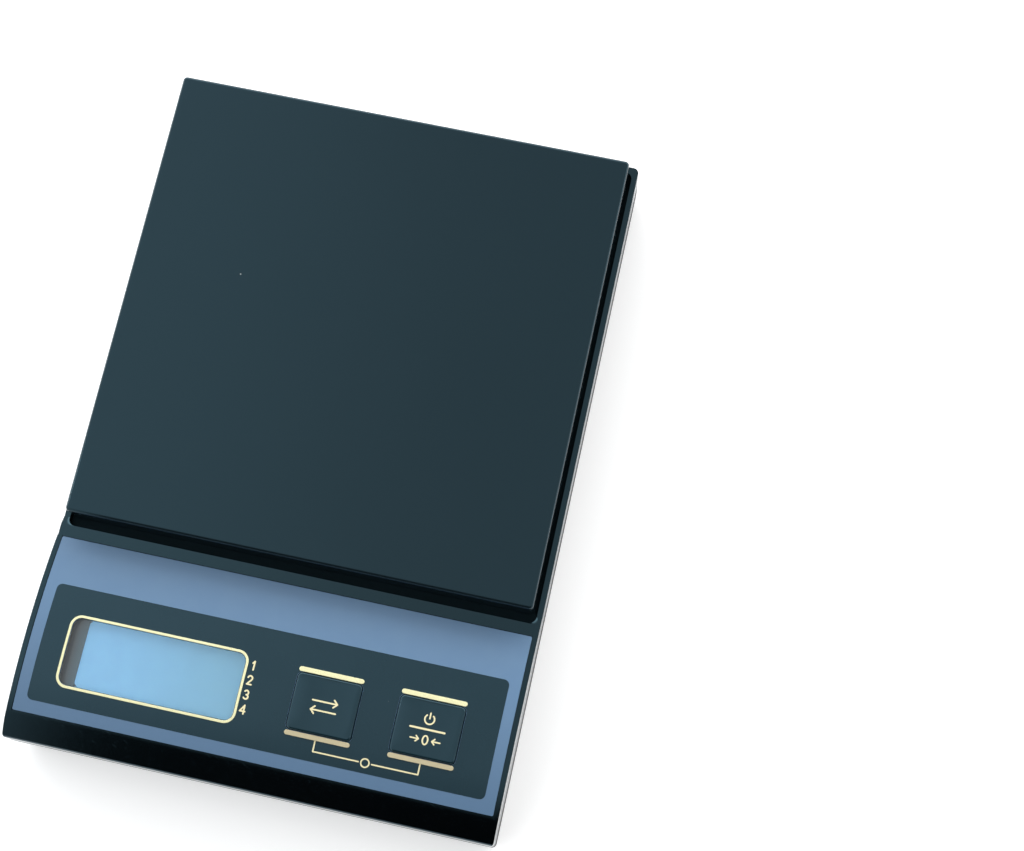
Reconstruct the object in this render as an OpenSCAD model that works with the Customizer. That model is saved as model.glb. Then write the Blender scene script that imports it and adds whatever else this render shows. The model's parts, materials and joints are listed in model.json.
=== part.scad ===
// Digital pocket scale: a flat tray on a bending-beam load cell, behind a crowned control panel.
// Millimetres. Z = 0 is the surface it stands on, +Y points to the rear, the origin is mid-case.

/* [Weighing tray] */
// Width of the tray
tray_w = 100; // [94:0.5:110]
// Length of the tray, front to rear
tray_l = 99.3; // [94:0.1:110]
// Thickness of the tray's top plate
tray_plate_t = 2; // [1.6:0.1:2.4]
// Thickness of the tray's skirt
tray_skirt_t = 1.5; // [1.2:0.1:2]
// Height of the skirt, measured from the tray's top
tray_skirt_h = 8.8; // [8.2:0.1:9]
// Radius of the tray's upright corners
tray_corner_r = 0.9; // [0.6:0.1:1.1]
// Radius along the tray's top edges
tray_edge_r = 0.7; // [0.4:0.1:0.9]
// Height of the tray's top above the case rim
tray_rise = 7.7; // [7.4:0.1:8.5]

/* [Case] */
// Thickness of the rim beside the tray
rim_t = 1.2; // [1:0.1:2]
// Gap between the tray and the rim at the sides
side_gap = 0.8; // [0.6:0.1:1.5]
// Gap between the tray and the rim at the rear
rear_gap = 0.4; // [0.3:0.1:1.5]
// Gap between the tray and the panel's rear edge
front_gap = 2.05; // [1.5:0.05:3]
// Height of the rim above the surface it stands on
rim_z = 15.3; // [15:0.1:16.5]
// Radius of the case's upright corners
case_corner_r = 1.2; // [1:0.1:2.4]
// Radius along the case's bottom edges
case_bottom_r = 1.4; // [0.8:0.1:1.5]
// Thickness of the outer walls
wall_t = 1.8; // [1.5:0.1:2.2]
// Thickness of the case floor
floor_t = 1.6; // [1.5:0.1:2]
// Height of the parting line between the two case halves
parting_z = 9; // [8.5:0.1:9.5]
// Depth of the recessed parting line
parting_inset = 0.2; // [0.1:0.05:0.3]
// Height of the recessed parting line
parting_h = 0.25; // [0.15:0.05:0.4]
// Depth of the well under the tray
well_depth = 2.3; // [2:0.1:2.5]
// Thickness of the well's floor
well_floor_t = 1.6; // [1.4:0.1:1.8]
// Thickness of the wall between the well and the panel
well_wall_t = 1.6; // [1.4:0.1:2.2]
// Thickness of the register lip inside the parting line
lip_t = 0.9; // [0.7:0.1:1.2]
// Height of the register lip above the parting line
lip_h = 1.2; // [0.8:0.1:1.6]
// Clearance between the register lip and the upper case
lip_fit = 0.1; // [0.05:0.01:0.2]

/* [Control panel] */
// Length of the control panel, front face to well
panel_l = 46.15; // [45:0.05:50]
// Radius of the crowned surface
crown_r = 91; // [88:1:100]
// Height of the crown above the rim
crest_rise = 4.5; // [4.3:0.1:4.8]
// Distance of the crest behind the front face
crest_setback = 19.7; // [18:0.1:22]
// Radius of the front lip
lip_r = 14; // [12:0.5:16]
// Distance behind the front face where the lip starts
lip_setback = 6; // [5:0.1:7]
// Radius of the edge between lip and front face
front_edge_r = 1; // [0.6:0.1:1.2]
// Lean of the front face
front_draft = 0.4; // [0.2:0.1:0.6]
// Thickness of the front wall
front_wall_t = 3.2; // [3:0.1:3.6]
// Thickness of the panel's roof
roof_t = 1.8; // [1.6:0.1:2]
// Margin between the overlay and the case's sides
overlay_margin = 1.2; // [0.8:0.1:2]
// Length of the overlay
overlay_l = 37.3; // [36:0.1:38]
// Distance of the overlay's front edge behind the front face
overlay_setback = 6.2; // [5.5:0.1:7]
// Thickness of the overlay
overlay_t = 0.5; // [0.3:0.05:0.7]
// Gap round the overlay in its recess
overlay_gap = 0.15; // [0.1:0.05:0.3]
// Depth of the level strip behind the overlay, under the crown at its front edge
strip_drop = 0.35; // [0.2:0.05:0.45]
// Distance of the window and the keys behind the front face
controls_setback = 20.3; // [19.5:0.1:21]
// Depth below the crest of the flat seats under the panel
seat_drop = 2.3; // [2.2:0.1:2.6]
// Width of the flat seats round the openings
seat_w = 1.6; // [1.2:0.1:1.8]

/* [Display] */
// Width of the window
window_w = 37.3; // [34:0.1:39]
// Length of the window, front to rear
window_l = 14.2; // [13:0.1:15]
// Radius of the window's corners
window_r = 1.9; // [1.4:0.1:3.5]
// Sideways place of the window's middle
window_x = -24.25; // [-25:0.05:-23.5]
// Clearance round the lens in its opening
lens_fit = 0.1; // [0.05:0.01:0.2]
// Width of the lens flange
lens_flange_w = 1.2; // [0.8:0.1:1.4]
// Thickness of the lens flange
lens_flange_t = 0.8; // [0.6:0.1:1]
// Thickness of the foam gasket
gasket_t = 0.2; // [0.15:0.05:0.3]
// Width of the display glass
glass_w = 43.5; // [42:0.1:44.5]
// Length of the display glass
glass_l = 19; // [18:0.1:19.5]
// Thickness of the display glass
glass_t = 1.9; // [1.6:0.1:2.1]
// Sideways place of the glass's middle
glass_x = -24.2; // [-24.6:0.05:-24]
// Width of the viewed area inside the bezel
view_w = 35.8; // [34:0.1:36.2]
// Sideways place of the viewed area's middle
view_x = -22.1; // [-22.6:0.05:-22]
// Thickness of the bezel's walls
bezel_wall = 1.2; // [1:0.1:1.5]
// Thickness of the bezel's front
bezel_front_t = 0.4; // [0.3:0.05:0.5]
// Clearance round the glass in the bezel
glass_fit = 0.15; // [0.1:0.01:0.3]
// Width of each elastomer contact strip
strip_w = 1.8; // [1.4:0.1:2.2]

/* [Keys] */
// Width of a key cap
key_w = 13.7; // [12:0.1:14.5]
// Length of a key cap
key_l = 11.8; // [10:0.1:12.5]
// Radius of a key cap's corners
key_r = 1; // [0.6:0.1:2]
// Height of a key cap above the crown
key_proud = 0.5; // [0.3:0.05:0.8]
// Clearance round a key cap in its opening
key_fit = 0.12; // [0.08:0.01:0.2]
// Travel of a key
key_travel = 0.5; // [0.3:0.05:0.6]
// Sideways place of the left key
mode_x = 12.4; // [11.5:0.1:13]
// Distance between the two keys
key_pitch = 21.7; // [19.5:0.1:22.5]
// Width of the flange that keeps a key in
key_flange_w = 1; // [0.6:0.1:1.2]
// Thickness of that flange
key_flange_t = 0.8; // [0.6:0.1:1]
// Running gap above the flange
key_flange_gap = 0.1; // [0.05:0.05:0.2]
// Radius of a key's stem
stem_r = 2.2; // [1.8:0.1:2.8]
// Radius of a rubber dome's foot
dome_foot_r = 4.6; // [4:0.1:5.5]
// Height of a rubber dome
dome_h = 2.2; // [1.9:0.1:2.4]
// Wall of a rubber dome
dome_wall = 0.7; // [0.5:0.1:0.9]

/* [Circuit board] */
// Width of the board
board_w = 94; // [92:0.5:96]
// Length of the board
board_l = 34; // [32:0.5:35]
// Thickness of the board
board_t = 1.2; // [1:0.1:1.6]
// Gap between the board and the front wall
board_gap = 0.7; // [0.5:0.1:1]
// Height of the elastomer strips above the board
strip_h = 1.6; // [1.2:0.1:1.8]
// Distance of a board screw from the board's edges
board_screw_inset = 2.8; // [2.6:0.1:3.5]
// Radius of a board screw's thread
board_screw_r = 1; // [0.8:0.1:1.2]
// Radius of a board boss
board_boss_r = 2.2; // [2:0.1:2.4]

/* [Load cell] */
// Length of the beam
beam_l = 60; // [56:1:66]
// Width of the beam
beam_w = 8; // [7:0.5:10]
// Height of the beam
beam_h = 7; // [6.8:0.1:7.1]
// Height of the foot under the beam's fixed end
beam_foot_h = 1.2; // [1.1:0.05:1.3]
// Length of the beam's fixed and loaded ends
beam_end_l = 14; // [13:0.5:16]
// Radius of the holes that thin the beam
flex_r = 2.7; // [2.4:0.1:2.9]
// Distance between those holes
flex_pitch = 12; // [10:0.5:14]
// Height of the slot that joins those holes
flex_slot_h = 2; // [1.5:0.1:2.5]
// Distance between the two screws at each end
beam_screw_pitch = 7; // [6.5:0.1:8]
// Radius of the beam's screws
beam_screw_r = 1.5; // [1.4:0.05:1.6]
// Clearance round the load spacer in the well floor
spacer_gap = 2; // [1.5:0.1:3]
// Radius clearance of threads in their holes
thread_fit = 0.02; // [0.01:0.01:0.05]
// Radius clearance of screws in plain holes
hole_fit = 0.2; // [0.15:0.05:0.3]

/* [Tray carrier] */
// Width of the carrier plate
carrier_w = 84; // [80:1:88]
// Length of the carrier plate
carrier_l = 80; // [76:1:86]
// Thickness of the carrier plate
carrier_t = 1.6; // [1.4:0.1:1.8]
// Height of the rubber pads between carrier and tray
pad_h = 2.4; // [2.2:0.1:2.6]
// Radius of those pads
pad_r = 4; // [3:0.1:5]
// Distance of the pads from the carrier's edges
pad_inset = 7; // [6:0.5:9]
// Radius of the lightening holes
lighten_r = 6; // [4:0.5:6.5]
// Travel of the tray down to its stops
tray_travel = 0.5; // [0.3:0.05:0.5]
// Gap left above the overload stops at full travel
stop_gap = 0.05; // [0.02:0.01:0.1]
// Distance of the overload stops from the carrier's edges
stop_inset = 8; // [7:0.5:10]
// Radius of an overload stop
stop_r = 1.5; // [1.2:0.1:2]

/* [Battery bay] */
// Length of a cell over its tip
cell_len = 44.5; // [44:0.1:45]
// Radius of a cell
cell_r = 5.25; // [5:0.05:5.3]
// Distance between the two cells
cell_pitch = 11; // [10.9:0.1:11.6]
// Length of a compressed contact spring
spring_len = 5; // [4:0.1:6]
// Thickness of the contact plates
plate_t = 0.4; // [0.3:0.05:0.6]
// Thickness of the bay's walls
bay_wall = 1.2; // [1:0.1:1.4]
// Gap between the cells and the bay's front and rear walls
bay_gap = 0.3; // [0.2:0.05:0.5]
// Distance of the bay's middle in front of the rear face
bay_setback = 17.3; // [17:0.1:18.5]
// Thickness of the hood over the bay
hood_t = 1.4; // [1.2:0.1:1.5]
// Gap between the cells and the hood
hood_gap = 0.8; // [0.5:0.1:0.9]
// Thickness of the door
door_t = 1.4; // [1.2:0.1:1.5]
// Gap between the door and the cells
door_cell_gap = 0.3; // [0.2:0.05:0.4]
// Running gap round the door
door_gap = 0.2; // [0.15:0.05:0.3]
// Distance of the door's sides inside the bay's ends
door_inset = 1.2; // [1:0.1:2]
// Height of the door's rear flap
flap_h = 6.8; // [6:0.1:7]
// Width of the door's side tongues
tongue_w = 1.2; // [1:0.1:1.6]
// Thickness of the door's side tongues
tongue_t = 0.7; // [0.6:0.05:0.8]

/* [Feet and case screws] */
// Height of the case floor above the surface it stands on
stand_h = 1; // [0.8:0.1:1.2]
// Radius of a rubber foot
foot_r = 4.5; // [4:0.1:5]
// Depth of a foot's seat in the floor
foot_seat = 0.6; // [0.4:0.1:0.7]
// Distance of the feet from the case's sides
foot_inset_x = 10; // [8:0.5:12]
// Distance of the feet from the front and rear faces
foot_inset_y = 14; // [12:0.5:16]
// Radius of a case screw's thread
case_screw_r = 1.3; // [1.2:0.05:1.4]
// Radius of a case screw's boss
case_boss_r = 3.2; // [3:0.1:3.4]
// Distance of the case screws from the case's sides
case_screw_inset = 6.5; // [6:0.1:7.5]
// Height at which the screw bosses meet
boss_split_z = 6; // [5.6:0.1:6.6]

/* [Hidden] */
$fn = 64;
// Fine step for the wide crown arcs
crown_fn = 360;
// Length by which a cut runs past the face it opens
over = 1;
// Height by which a smaller circle of the panel's profile stands past the next, so that they cross
cross_rise = 0.01;

// Case plan
case_w = tray_w + 2 * (side_gap + rim_t);
case_l = panel_l + front_gap + tray_l + rear_gap + rim_t;
front_y = -case_l / 2;
rear_y = case_l / 2;
well_y0 = front_y + panel_l;
well_y1 = rear_y - rim_t;
tray_y0 = well_y0 + front_gap;
tray_cy = tray_y0 + tray_l / 2;
controls_y = front_y + controls_setback;

// Heights
tray_top_z = rim_z + tray_rise;
tray_under_z = tray_top_z - tray_plate_t;
crest_z = rim_z + crest_rise;
well_z = rim_z - well_depth;
hold_z = well_z - well_floor_t;
floor_z = stand_h + floor_t;
seat_z = crest_z - seat_drop;

// Crown, lip and front edge, as circles that run smoothly into each other in the side profile
crest_y = front_y + crest_setback;
crown_cz = crest_z - crown_r;
join_y = crest_y + sqrt(pow(crown_r, 2) - pow(crown_r - crest_rise, 2));
lip_y = front_y + lip_setback;
lip_sin = (crest_y - lip_y) / crown_r;
lip_reach = crown_r - lip_r + cross_rise;
lip_cy = crest_y - lip_reach * lip_sin;
lip_cz = crown_cz + lip_reach * sqrt(1 - pow(lip_sin, 2));
edge_reach = lip_r - front_edge_r + cross_rise;
edge_cy = front_y + front_draft + front_edge_r;
edge_cz = lip_cz + sqrt(pow(edge_reach, 2) - pow(edge_cy - lip_cy, 2));
edge_ty = lip_cy + (edge_cy - lip_cy) * lip_r / edge_reach;

// Overlay
overlay_w = case_w - 2 * overlay_margin;
overlay_cy = front_y + overlay_setback + overlay_l / 2;
strip_y = overlay_cy + overlay_l / 2 + overlay_gap;
strip_z = crown_cz + sqrt(pow(crown_r, 2) - pow(strip_y - crest_y, 2)) - strip_drop;

// Stack under the window: lens flange, gasket, bezel, glass, strips, board
flange_z = seat_z - lens_flange_t;
bezel_z = flange_z - gasket_t;
glass_top_z = bezel_z - bezel_front_t;
glass_z = glass_top_z - glass_t;
board_top_z = glass_z - strip_h;
board_z = board_top_z - board_t;
board_y0 = front_y + front_wall_t + board_gap;
board_cy = board_y0 + board_l / 2;
bezel_w = glass_w + 2 * (glass_fit + bezel_wall);
bezel_l = glass_l + 2 * (glass_fit + bezel_wall);
view_l = window_l + 1.2;

// Parts under the board, placed from its middle
processor_w = 14;
processor_t = 1.6;
processor_x = -22;
processor_y = -4;
converter_w = 8;
converter_l = 5.5;
converter_t = 1.4;
converter_x = 10;
converter_y = 1;
crystal_l = 8;
crystal_r = 1.5;
crystal_x = -5;
crystal_y = 6;
can_r = 2.5;
can_h = 5.4;
can_x = 24;
can_pitch = 8;
can_y = 4;
resistor_w = 2;
resistor_l = 1.25;
resistor_t = 0.6;
resistor_x = 4;
resistor_pitch = 4;
resistor_y = -9;

// Board screws: bite of the thread, spare depth of a threaded hole, and head
board_screw_bite = 3;
thread_end = 0.25;
board_screw_head_r = board_screw_r + 0.9;
board_screw_head_h = 1.1;

// Keys
tare_x = mode_x + key_pitch;
key_flange_z = seat_z - key_flange_gap - key_flange_t;
dome_top_z = board_top_z + dome_h;

// Load cell, along X, centred under the tray
beam_z = floor_z + beam_foot_h;
beam_top_z = beam_z + beam_h;
beam_end_x = (beam_l - beam_end_l) / 2;
beam_screw_head_r = beam_screw_r + 1.2;
beam_screw_head_h = 1.5;
cell_screw_l = 7;

// Carrier and its stops
carrier_z = tray_under_z - pad_h - carrier_t;
carrier_top_z = carrier_z + carrier_t;
spacer_l = beam_end_l - 1;
stop_x = carrier_w / 2 - stop_inset;
stop_y = carrier_l / 2 - stop_inset;
stop_top_z = carrier_z - tray_travel - stop_gap;

// Battery bay
bay_half_x = (cell_len + spring_len) / 2 + plate_t + 0.05;
bay_half_y = cell_pitch / 2 + cell_r + bay_gap;
bay_cy = rear_y - bay_setback;
cell_z = stand_h + door_t + door_cell_gap + cell_r;
hood_in_x = bay_half_x + bay_wall + 0.2;
hood_in_z = cell_z + cell_r + hood_gap;
hood_in_y = bay_half_y - 0.3;
door_half = bay_half_x - door_inset;
door_y0 = bay_cy - bay_half_y;
bay_wall_top = hold_z - 0.6;

// Screws of the case
case_head_r = case_screw_r + 1.1;
case_head_h = 1.6;
case_head_seat = stand_h + 2.2;
case_screw_x = case_w / 2 - case_screw_inset;
case_screw_y0 = well_y0 - well_wall_t - case_boss_r + 1.4;
case_screw_y1 = rear_y - wall_t - case_boss_r - 0.8;
case_screw_len = 7;

// Feet
foot_x = case_w / 2 - foot_inset_x;
foot_y = case_l / 2 - foot_inset_y;

// Rectangle with round corners, centred
module rounded(w, l, r) {
    square([w - 2 * r, l], center = true);
    square([w, l - 2 * r], center = true);
    for (x = [-1, 1], y = [-1, 1])
        translate([x * (w / 2 - r), y * (l / 2 - r)]) circle(r);
}

// Block with round upright corners, standing on z0
module pillar(w, l, r, z0, z1) {
    translate([0, 0, z0]) linear_extrude(z1 - z0) rounded(w, l, r);
}

// Plain block between two heights, centred in plan
module slab(w, l, z0, z1) {
    translate([-w / 2, -l / 2, z0]) cube([w, l, z1 - z0]);
}

// Upright rod between two heights
module rod(r, z0, z1) {
    translate([0, 0, z0]) cylinder(r = r, h = z1 - z0);
}

// Side profile, drawn in Y and Z, carried along X
module along_x(w) {
    translate([-w / 2, 0, 0]) rotate([90, 0, 90]) linear_extrude(w) children();
}

// Front profile, drawn in X and Z, carried along Y
module along_y(l) {
    translate([0, l / 2, 0]) rotate([90, 0, 0]) linear_extrude(l) children();
}

// Part of a circle that lies between y0 and y1 and above z0
module arc_area(cy, cz, r, y0, y1, z0) {
    intersection() {
        translate([cy, cz]) circle(r, $fn = crown_fn);
        translate([y0, z0]) square([y1 - y0, crest_z + over - z0]);
    }
}

// Part of the panel's profile from y0 back to the rim, to its full height
module panel_behind(y0) {
    translate([y0, parting_z]) square([join_y + over - y0, crest_z + over - parting_z]);
}

// Side profile of the upper case's outside
module upper_profile() {
    translate([join_y - over, parting_z]) square([rear_y - join_y + over, rim_z - parting_z]);
    // Level strip behind the overlay, which slopes down to the rim beside the well
    polygon([
        [strip_y - over, parting_z], [strip_y - over, strip_z], [well_y0, strip_z],
        [join_y, rim_z], [join_y, parting_z]
    ]);
    difference() {
        intersection() {
            translate([crest_y, crown_cz]) circle(crown_r, $fn = crown_fn);
            union() {
                translate([lip_cy, lip_cz]) circle(lip_r, $fn = crown_fn);
                panel_behind(lip_y);
            }
            union() {
                translate([edge_cy, edge_cz]) circle(front_edge_r);
                panel_behind(edge_ty);
                polygon([
                    [front_y, parting_z], [front_y + front_draft, edge_cz],
                    [edge_ty + over, edge_cz], [edge_ty + over, parting_z]
                ]);
            }
        }
        translate([strip_y, strip_z]) square([join_y - strip_y + 2 * over, crest_rise]);
    }
}

module upper_outside() {
    intersection() {
        along_x(case_w) upper_profile();
        pillar(case_w, case_l, case_corner_r, parting_z, crest_z + over);
    }
}

// Layer of the crown between two depths, over a flat outline
module crown_layer(d0, d1) {
    intersection() {
        along_x(case_w) difference() {
            translate([crest_y, crown_cz]) circle(crown_r - d0, $fn = crown_fn);
            translate([crest_y, crown_cz]) circle(crown_r - d1, $fn = crown_fn);
        }
        translate([0, 0, rim_z - over]) linear_extrude(crest_rise + 3 * over) children();
    }
}

// Everything under the crown's surface, over a flat outline, down to z0
module crown_plug(d, z0) {
    intersection() {
        along_x(case_w) arc_area(crest_y, crown_cz, crown_r - d, front_y, join_y, z0);
        translate([0, 0, z0]) linear_extrude(crest_z + over - z0) children();
    }
}

module at_window() {
    translate([window_x, controls_y]) children();
}

module at_keys() {
    for (x = [mode_x, tare_x]) translate([x, controls_y]) children();
}

module at_board_screws() {
    for (x = [-1, 1], y = [-1, 1])
        translate([
            x * (board_w / 2 - board_screw_inset),
            board_cy + y * (board_l / 2 - board_screw_inset)
        ])
            children();
}

module at_case_screws() {
    for (x = [-1, 1], y = [case_screw_y0, case_screw_y1])
        translate([x * case_screw_x, y]) children();
}

module at_stops() {
    for (x = [-1, 1], y = [-1, 1]) translate([x * stop_x, tray_cy + y * stop_y]) children();
}

// Hollow of the upper case, under the roof and under the well
module upper_hollow() {
    inner_w = case_w - 2 * wall_t;
    hollow_y0 = front_y + front_wall_t;
    hollow_y1 = well_y0 - well_wall_t;
    along_x(inner_w)
        arc_area(crest_y, crown_cz, crown_r - roof_t, hollow_y0, hollow_y1, parting_z - over);
    translate([0, (hollow_y1 + rear_y - wall_t) / 2])
        slab(inner_w, rear_y - wall_t - hollow_y1 + 0.02, parting_z - over, hold_z);
}

module upper_case() {
    well_l = well_y1 - well_y0;
    well_w = case_w - 2 * rim_t;
    color([0.1, 0.13, 0.16])
    difference() {
        union() {
            difference() {
                upper_outside();
                upper_hollow();
                translate([0, (well_y0 + well_y1) / 2])
                    pillar(well_w, well_l, tray_corner_r + side_gap, well_z, crest_z + over);
            }
            // Flat seats round the window and the keys
            crown_plug(roof_t / 2, seat_z) {
                at_window() rounded(
                    window_w + 2 * (lens_flange_w + seat_w), window_l + 2 * (lens_flange_w + seat_w),
                    window_r + lens_flange_w
                );
                at_keys() rounded(
                    key_w + 2 * (key_flange_w + seat_w), key_l + 2 * (key_flange_w + seat_w),
                    key_r + key_flange_w
                );
            }
            // Bosses for the board's screws
            crown_plug(roof_t / 2, board_top_z) at_board_screws() circle(board_boss_r);
            // Bosses for the case's screws
            for (x = [-1, 1]) {
                translate([x * case_screw_x, case_screw_y0])
                    rod(case_boss_r, boss_split_z, well_z - 0.2);
                translate([x * case_screw_x, case_screw_y1])
                    rod(case_boss_r, boss_split_z, hold_z + 0.2);
            }
            // Hood over the battery bay
            translate([0, bay_cy])
                slab(
                    2 * (hood_in_x + hood_t), 2 * (hood_in_y + hood_t),
                    hold_z, hood_in_z + hood_t
                );
            // Raised seats of the overload stops
            at_stops() rod(stop_r + 1.5, hold_z + 0.2, stop_top_z - 1);
        }
        translate([0, bay_cy])
            slab(2 * hood_in_x, 2 * hood_in_y, hold_z - over, hood_in_z);
        // Recess of the overlay
        crown_layer(-over, overlay_t) translate([0, overlay_cy])
            square([overlay_w + 2 * overlay_gap, overlay_l + 2 * overlay_gap], center = true);
        // Window and key openings
        translate([0, 0, seat_z - over]) linear_extrude(seat_drop + 2 * over) {
            at_window() rounded(window_w, window_l, window_r);
            at_keys() rounded(key_w + 2 * key_fit, key_l + 2 * key_fit, key_r + key_fit);
        }
        // Way through the well floor for the load spacer
        translate([beam_end_x, tray_cy])
            pillar(spacer_l + 2 * spacer_gap, beam_w + 2 * spacer_gap, spacer_gap,
                hold_z - over, well_z + over);
        at_board_screws()
            rod(board_screw_r + thread_fit, board_top_z - over, board_top_z + board_screw_bite + thread_end);
        at_case_screws() rod(
            case_screw_r + thread_fit, boss_split_z - over, case_head_seat + case_screw_len + thread_end
        );
        at_stops() rod(stop_r + thread_fit, hold_z - over, stop_top_z);
    }
}

// Outside of the lower case, with its bottom edges turned round
module lower_outside() {
    r = case_bottom_r;
    h = parting_z - stand_h;
    intersection() {
        pillar(case_w, case_l, case_corner_r, stand_h, parting_z);
        along_x(case_w) translate([0, stand_h + (h + r) / 2]) rounded(case_l, h + r, r);
        along_y(case_l) translate([0, stand_h + (h + r) / 2]) rounded(case_w, h + r, r);
    }
}

// Way of the battery door: opening, rear notch and the grooves of its tongues
module door_way() {
    translate([-door_half, door_y0 - door_gap, stand_h - over])
        cube([2 * door_half, rear_y - door_y0 + door_gap + over, floor_t + 2 * over]);
    translate([-door_half, rear_y - wall_t - over, stand_h - over])
        cube([2 * door_half, wall_t + 2 * over, flap_h + door_gap + over]);
    groove_h = tongue_t + 0.2;
    translate([-door_half - tongue_w - door_gap, door_y0 + 1, stand_h + 0.45])
        cube([2 * (door_half + tongue_w + door_gap), rear_y - door_y0 + over, groove_h]);
}

module lower_case() {
    inner_w = case_w - 2 * wall_t;
    inner_l = case_l - wall_t - front_wall_t;
    inner_cy = (front_wall_t - wall_t) / 2;
    color([0.09, 0.11, 0.13])
    difference() {
        union() {
            difference() {
                lower_outside();
                translate([0, inner_cy]) pillar(inner_w, inner_l, 0.5, floor_z, parting_z + over);
                // Recessed parting line
                difference() {
                    pillar(case_w + over, case_l + over, case_corner_r,
                        parting_z - parting_h, parting_z + over);
                    pillar(case_w - 2 * parting_inset, case_l - 2 * parting_inset,
                        case_corner_r - parting_inset, parting_z - parting_h - over,
                        parting_z + 2 * over);
                }
            }
            // Register lip that stands inside the upper case
            difference() {
                translate([0, inner_cy]) union() {
                    pillar(inner_w + 0.4, inner_l + 0.4, 0.5, parting_z - 2, parting_z - parting_h);
                    pillar(inner_w - 2 * lip_fit, inner_l - 2 * lip_fit, 0.5,
                        parting_z - 2, parting_z + lip_h);
                }
                translate([0, inner_cy])
                    pillar(inner_w - 2 * lip_t, inner_l - 2 * lip_t, 0.3,
                        parting_z - 2 - over, parting_z + lip_h + over);
                // Room for the upper case's screw bosses
                at_case_screws() rod(case_boss_r + 0.2, boss_split_z, parting_z + lip_h + over);
            }
            // Screw bosses
            at_case_screws() rod(case_boss_r, floor_z - 0.2, boss_split_z);
            // Foot of the load cell
            translate([-beam_end_x, tray_cy]) slab(beam_end_l, beam_w + 4, floor_z - 0.2, beam_z);
            // Walls of the battery bay
            translate([0, bay_cy]) difference() {
                slab(2 * (bay_half_x + bay_wall), 2 * (bay_half_y + bay_wall),
                    floor_z - 0.2, bay_wall_top);
                slab(2 * bay_half_x, 2 * bay_half_y, floor_z - over, bay_wall_top + over);
            }
        }
        door_way();
        // Seats of the feet
        for (x = [-1, 1], y = [-1, 1]) translate([x * foot_x, y * foot_y])
            rod(foot_r, stand_h - over, stand_h + foot_seat);
        // Screw ways
        at_case_screws() {
            rod(case_head_r + 0.3, stand_h - over, case_head_seat);
            rod(case_screw_r + hole_fit, stand_h, boss_split_z + over);
        }
        for (x = [-1, 1]) translate([-beam_end_x + x * beam_screw_pitch / 2, tray_cy]) {
            rod(beam_screw_head_r + 0.3, stand_h - over, stand_h + beam_screw_head_h);
            rod(beam_screw_r + hole_fit, stand_h, beam_z + over);
        }
        // Recess of the label
        label_place() slab(label_w + 0.2, label_l + 0.2, stand_h - over, stand_h + label_t);
        // Notches where the leads leave the bay
        for (y = [-1, 1]) translate([-bay_half_x - bay_wall - over, bay_cy + y * cell_pitch / 2 - 1.2, 5.6])
            cube([bay_wall + 2 * over, 2.4, bay_wall_top]);
    }
}

// Blank label on the underside
label_w = 46;
label_l = 24;
label_t = 0.3;

module label_place() {
    translate([0, -10]) children();
}

module blank_label() {
    color([0.7, 0.71, 0.72])
    label_place() pillar(label_w, label_l, 1, stand_h, stand_h + label_t);
}

module control_overlay() {
    color([0.42, 0.54, 0.67])
    crown_layer(0, overlay_t) difference() {
        translate([0, overlay_cy]) square([overlay_w, overlay_l], center = true);
        at_window() rounded(window_w, window_l, window_r);
        at_keys() rounded(key_w + 2 * key_fit, key_l + 2 * key_fit, key_r + key_fit);
    }
}

module display_lens() {
    color([0.75, 0.85, 0.9, 0.4]) {
        crown_plug(0.05, flange_z + 0.2) at_window()
            rounded(window_w - 2 * lens_fit, window_l - 2 * lens_fit, window_r - lens_fit);
        at_window() pillar(
            window_w + 2 * lens_flange_w, window_l + 2 * lens_flange_w, window_r + lens_flange_w,
            flange_z, seat_z
        );
    }
}

module lens_gasket() {
    color([0.15, 0.15, 0.15])
    at_window() difference() {
        pillar(window_w + 2 * lens_flange_w, window_l + 2 * lens_flange_w,
            window_r + lens_flange_w, bezel_z, flange_z);
        pillar(window_w + 0.6, window_l + 0.6, window_r, bezel_z - over, flange_z + over);
    }
}

module display_bezel() {
    color([0.2, 0.23, 0.25])
    difference() {
        translate([glass_x, controls_y]) slab(bezel_w, bezel_l, board_top_z, bezel_z);
        translate([glass_x, controls_y])
            slab(glass_w + 2 * glass_fit, glass_l + 2 * glass_fit, board_top_z - over, glass_top_z);
        translate([view_x, controls_y]) slab(view_w, view_l, glass_z, bezel_z + over);
    }
}

module display_glass() {
    color([0.54, 0.75, 0.9])
    translate([glass_x, controls_y]) slab(glass_w, glass_l, glass_z, glass_top_z);
}

module contact_strips() {
    color([0.5, 0.5, 0.52])
    for (y = [-1, 1])
        translate([glass_x, controls_y + y * (glass_l / 2 - strip_w / 2 - 0.3)])
            slab(glass_w - 2, strip_w, board_top_z, glass_z);
}

module main_board() {
    color([0.1, 0.35, 0.18])
    difference() {
        translate([0, board_cy]) slab(board_w, board_l, board_z, board_top_z);
        at_board_screws() rod(board_screw_r + hole_fit, board_z - over, board_top_z + over);
    }
}

// Screw with its head down: the head's seat is at z0
module screw(r, len, head_r, head_h, z0) {
    rod(r, z0, z0 + len);
    difference() {
        rod(head_r, z0 - head_h, z0);
        for (a = [0, 90]) rotate(a)
            slab(head_r * 1.2, head_r * 0.28, z0 - head_h - over, z0 - head_h * 0.45);
    }
}

module board_screws() {
    color([0.75, 0.76, 0.78])
    at_board_screws()
        screw(board_screw_r, board_t + board_screw_bite, board_screw_head_r, board_screw_head_h, board_z);
}

// Small part on the board's underside
module under_board(x, y, w, l, h) {
    translate([x, board_cy + y]) slab(w, l, board_z - h, board_z);
}

module processor_chip() {
    color([0.08, 0.08, 0.09])
    under_board(processor_x, processor_y, processor_w, processor_w, processor_t);
}

module converter_chip() {
    color([0.08, 0.08, 0.09])
    under_board(converter_x, converter_y, converter_w, converter_l, converter_t);
}

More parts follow.
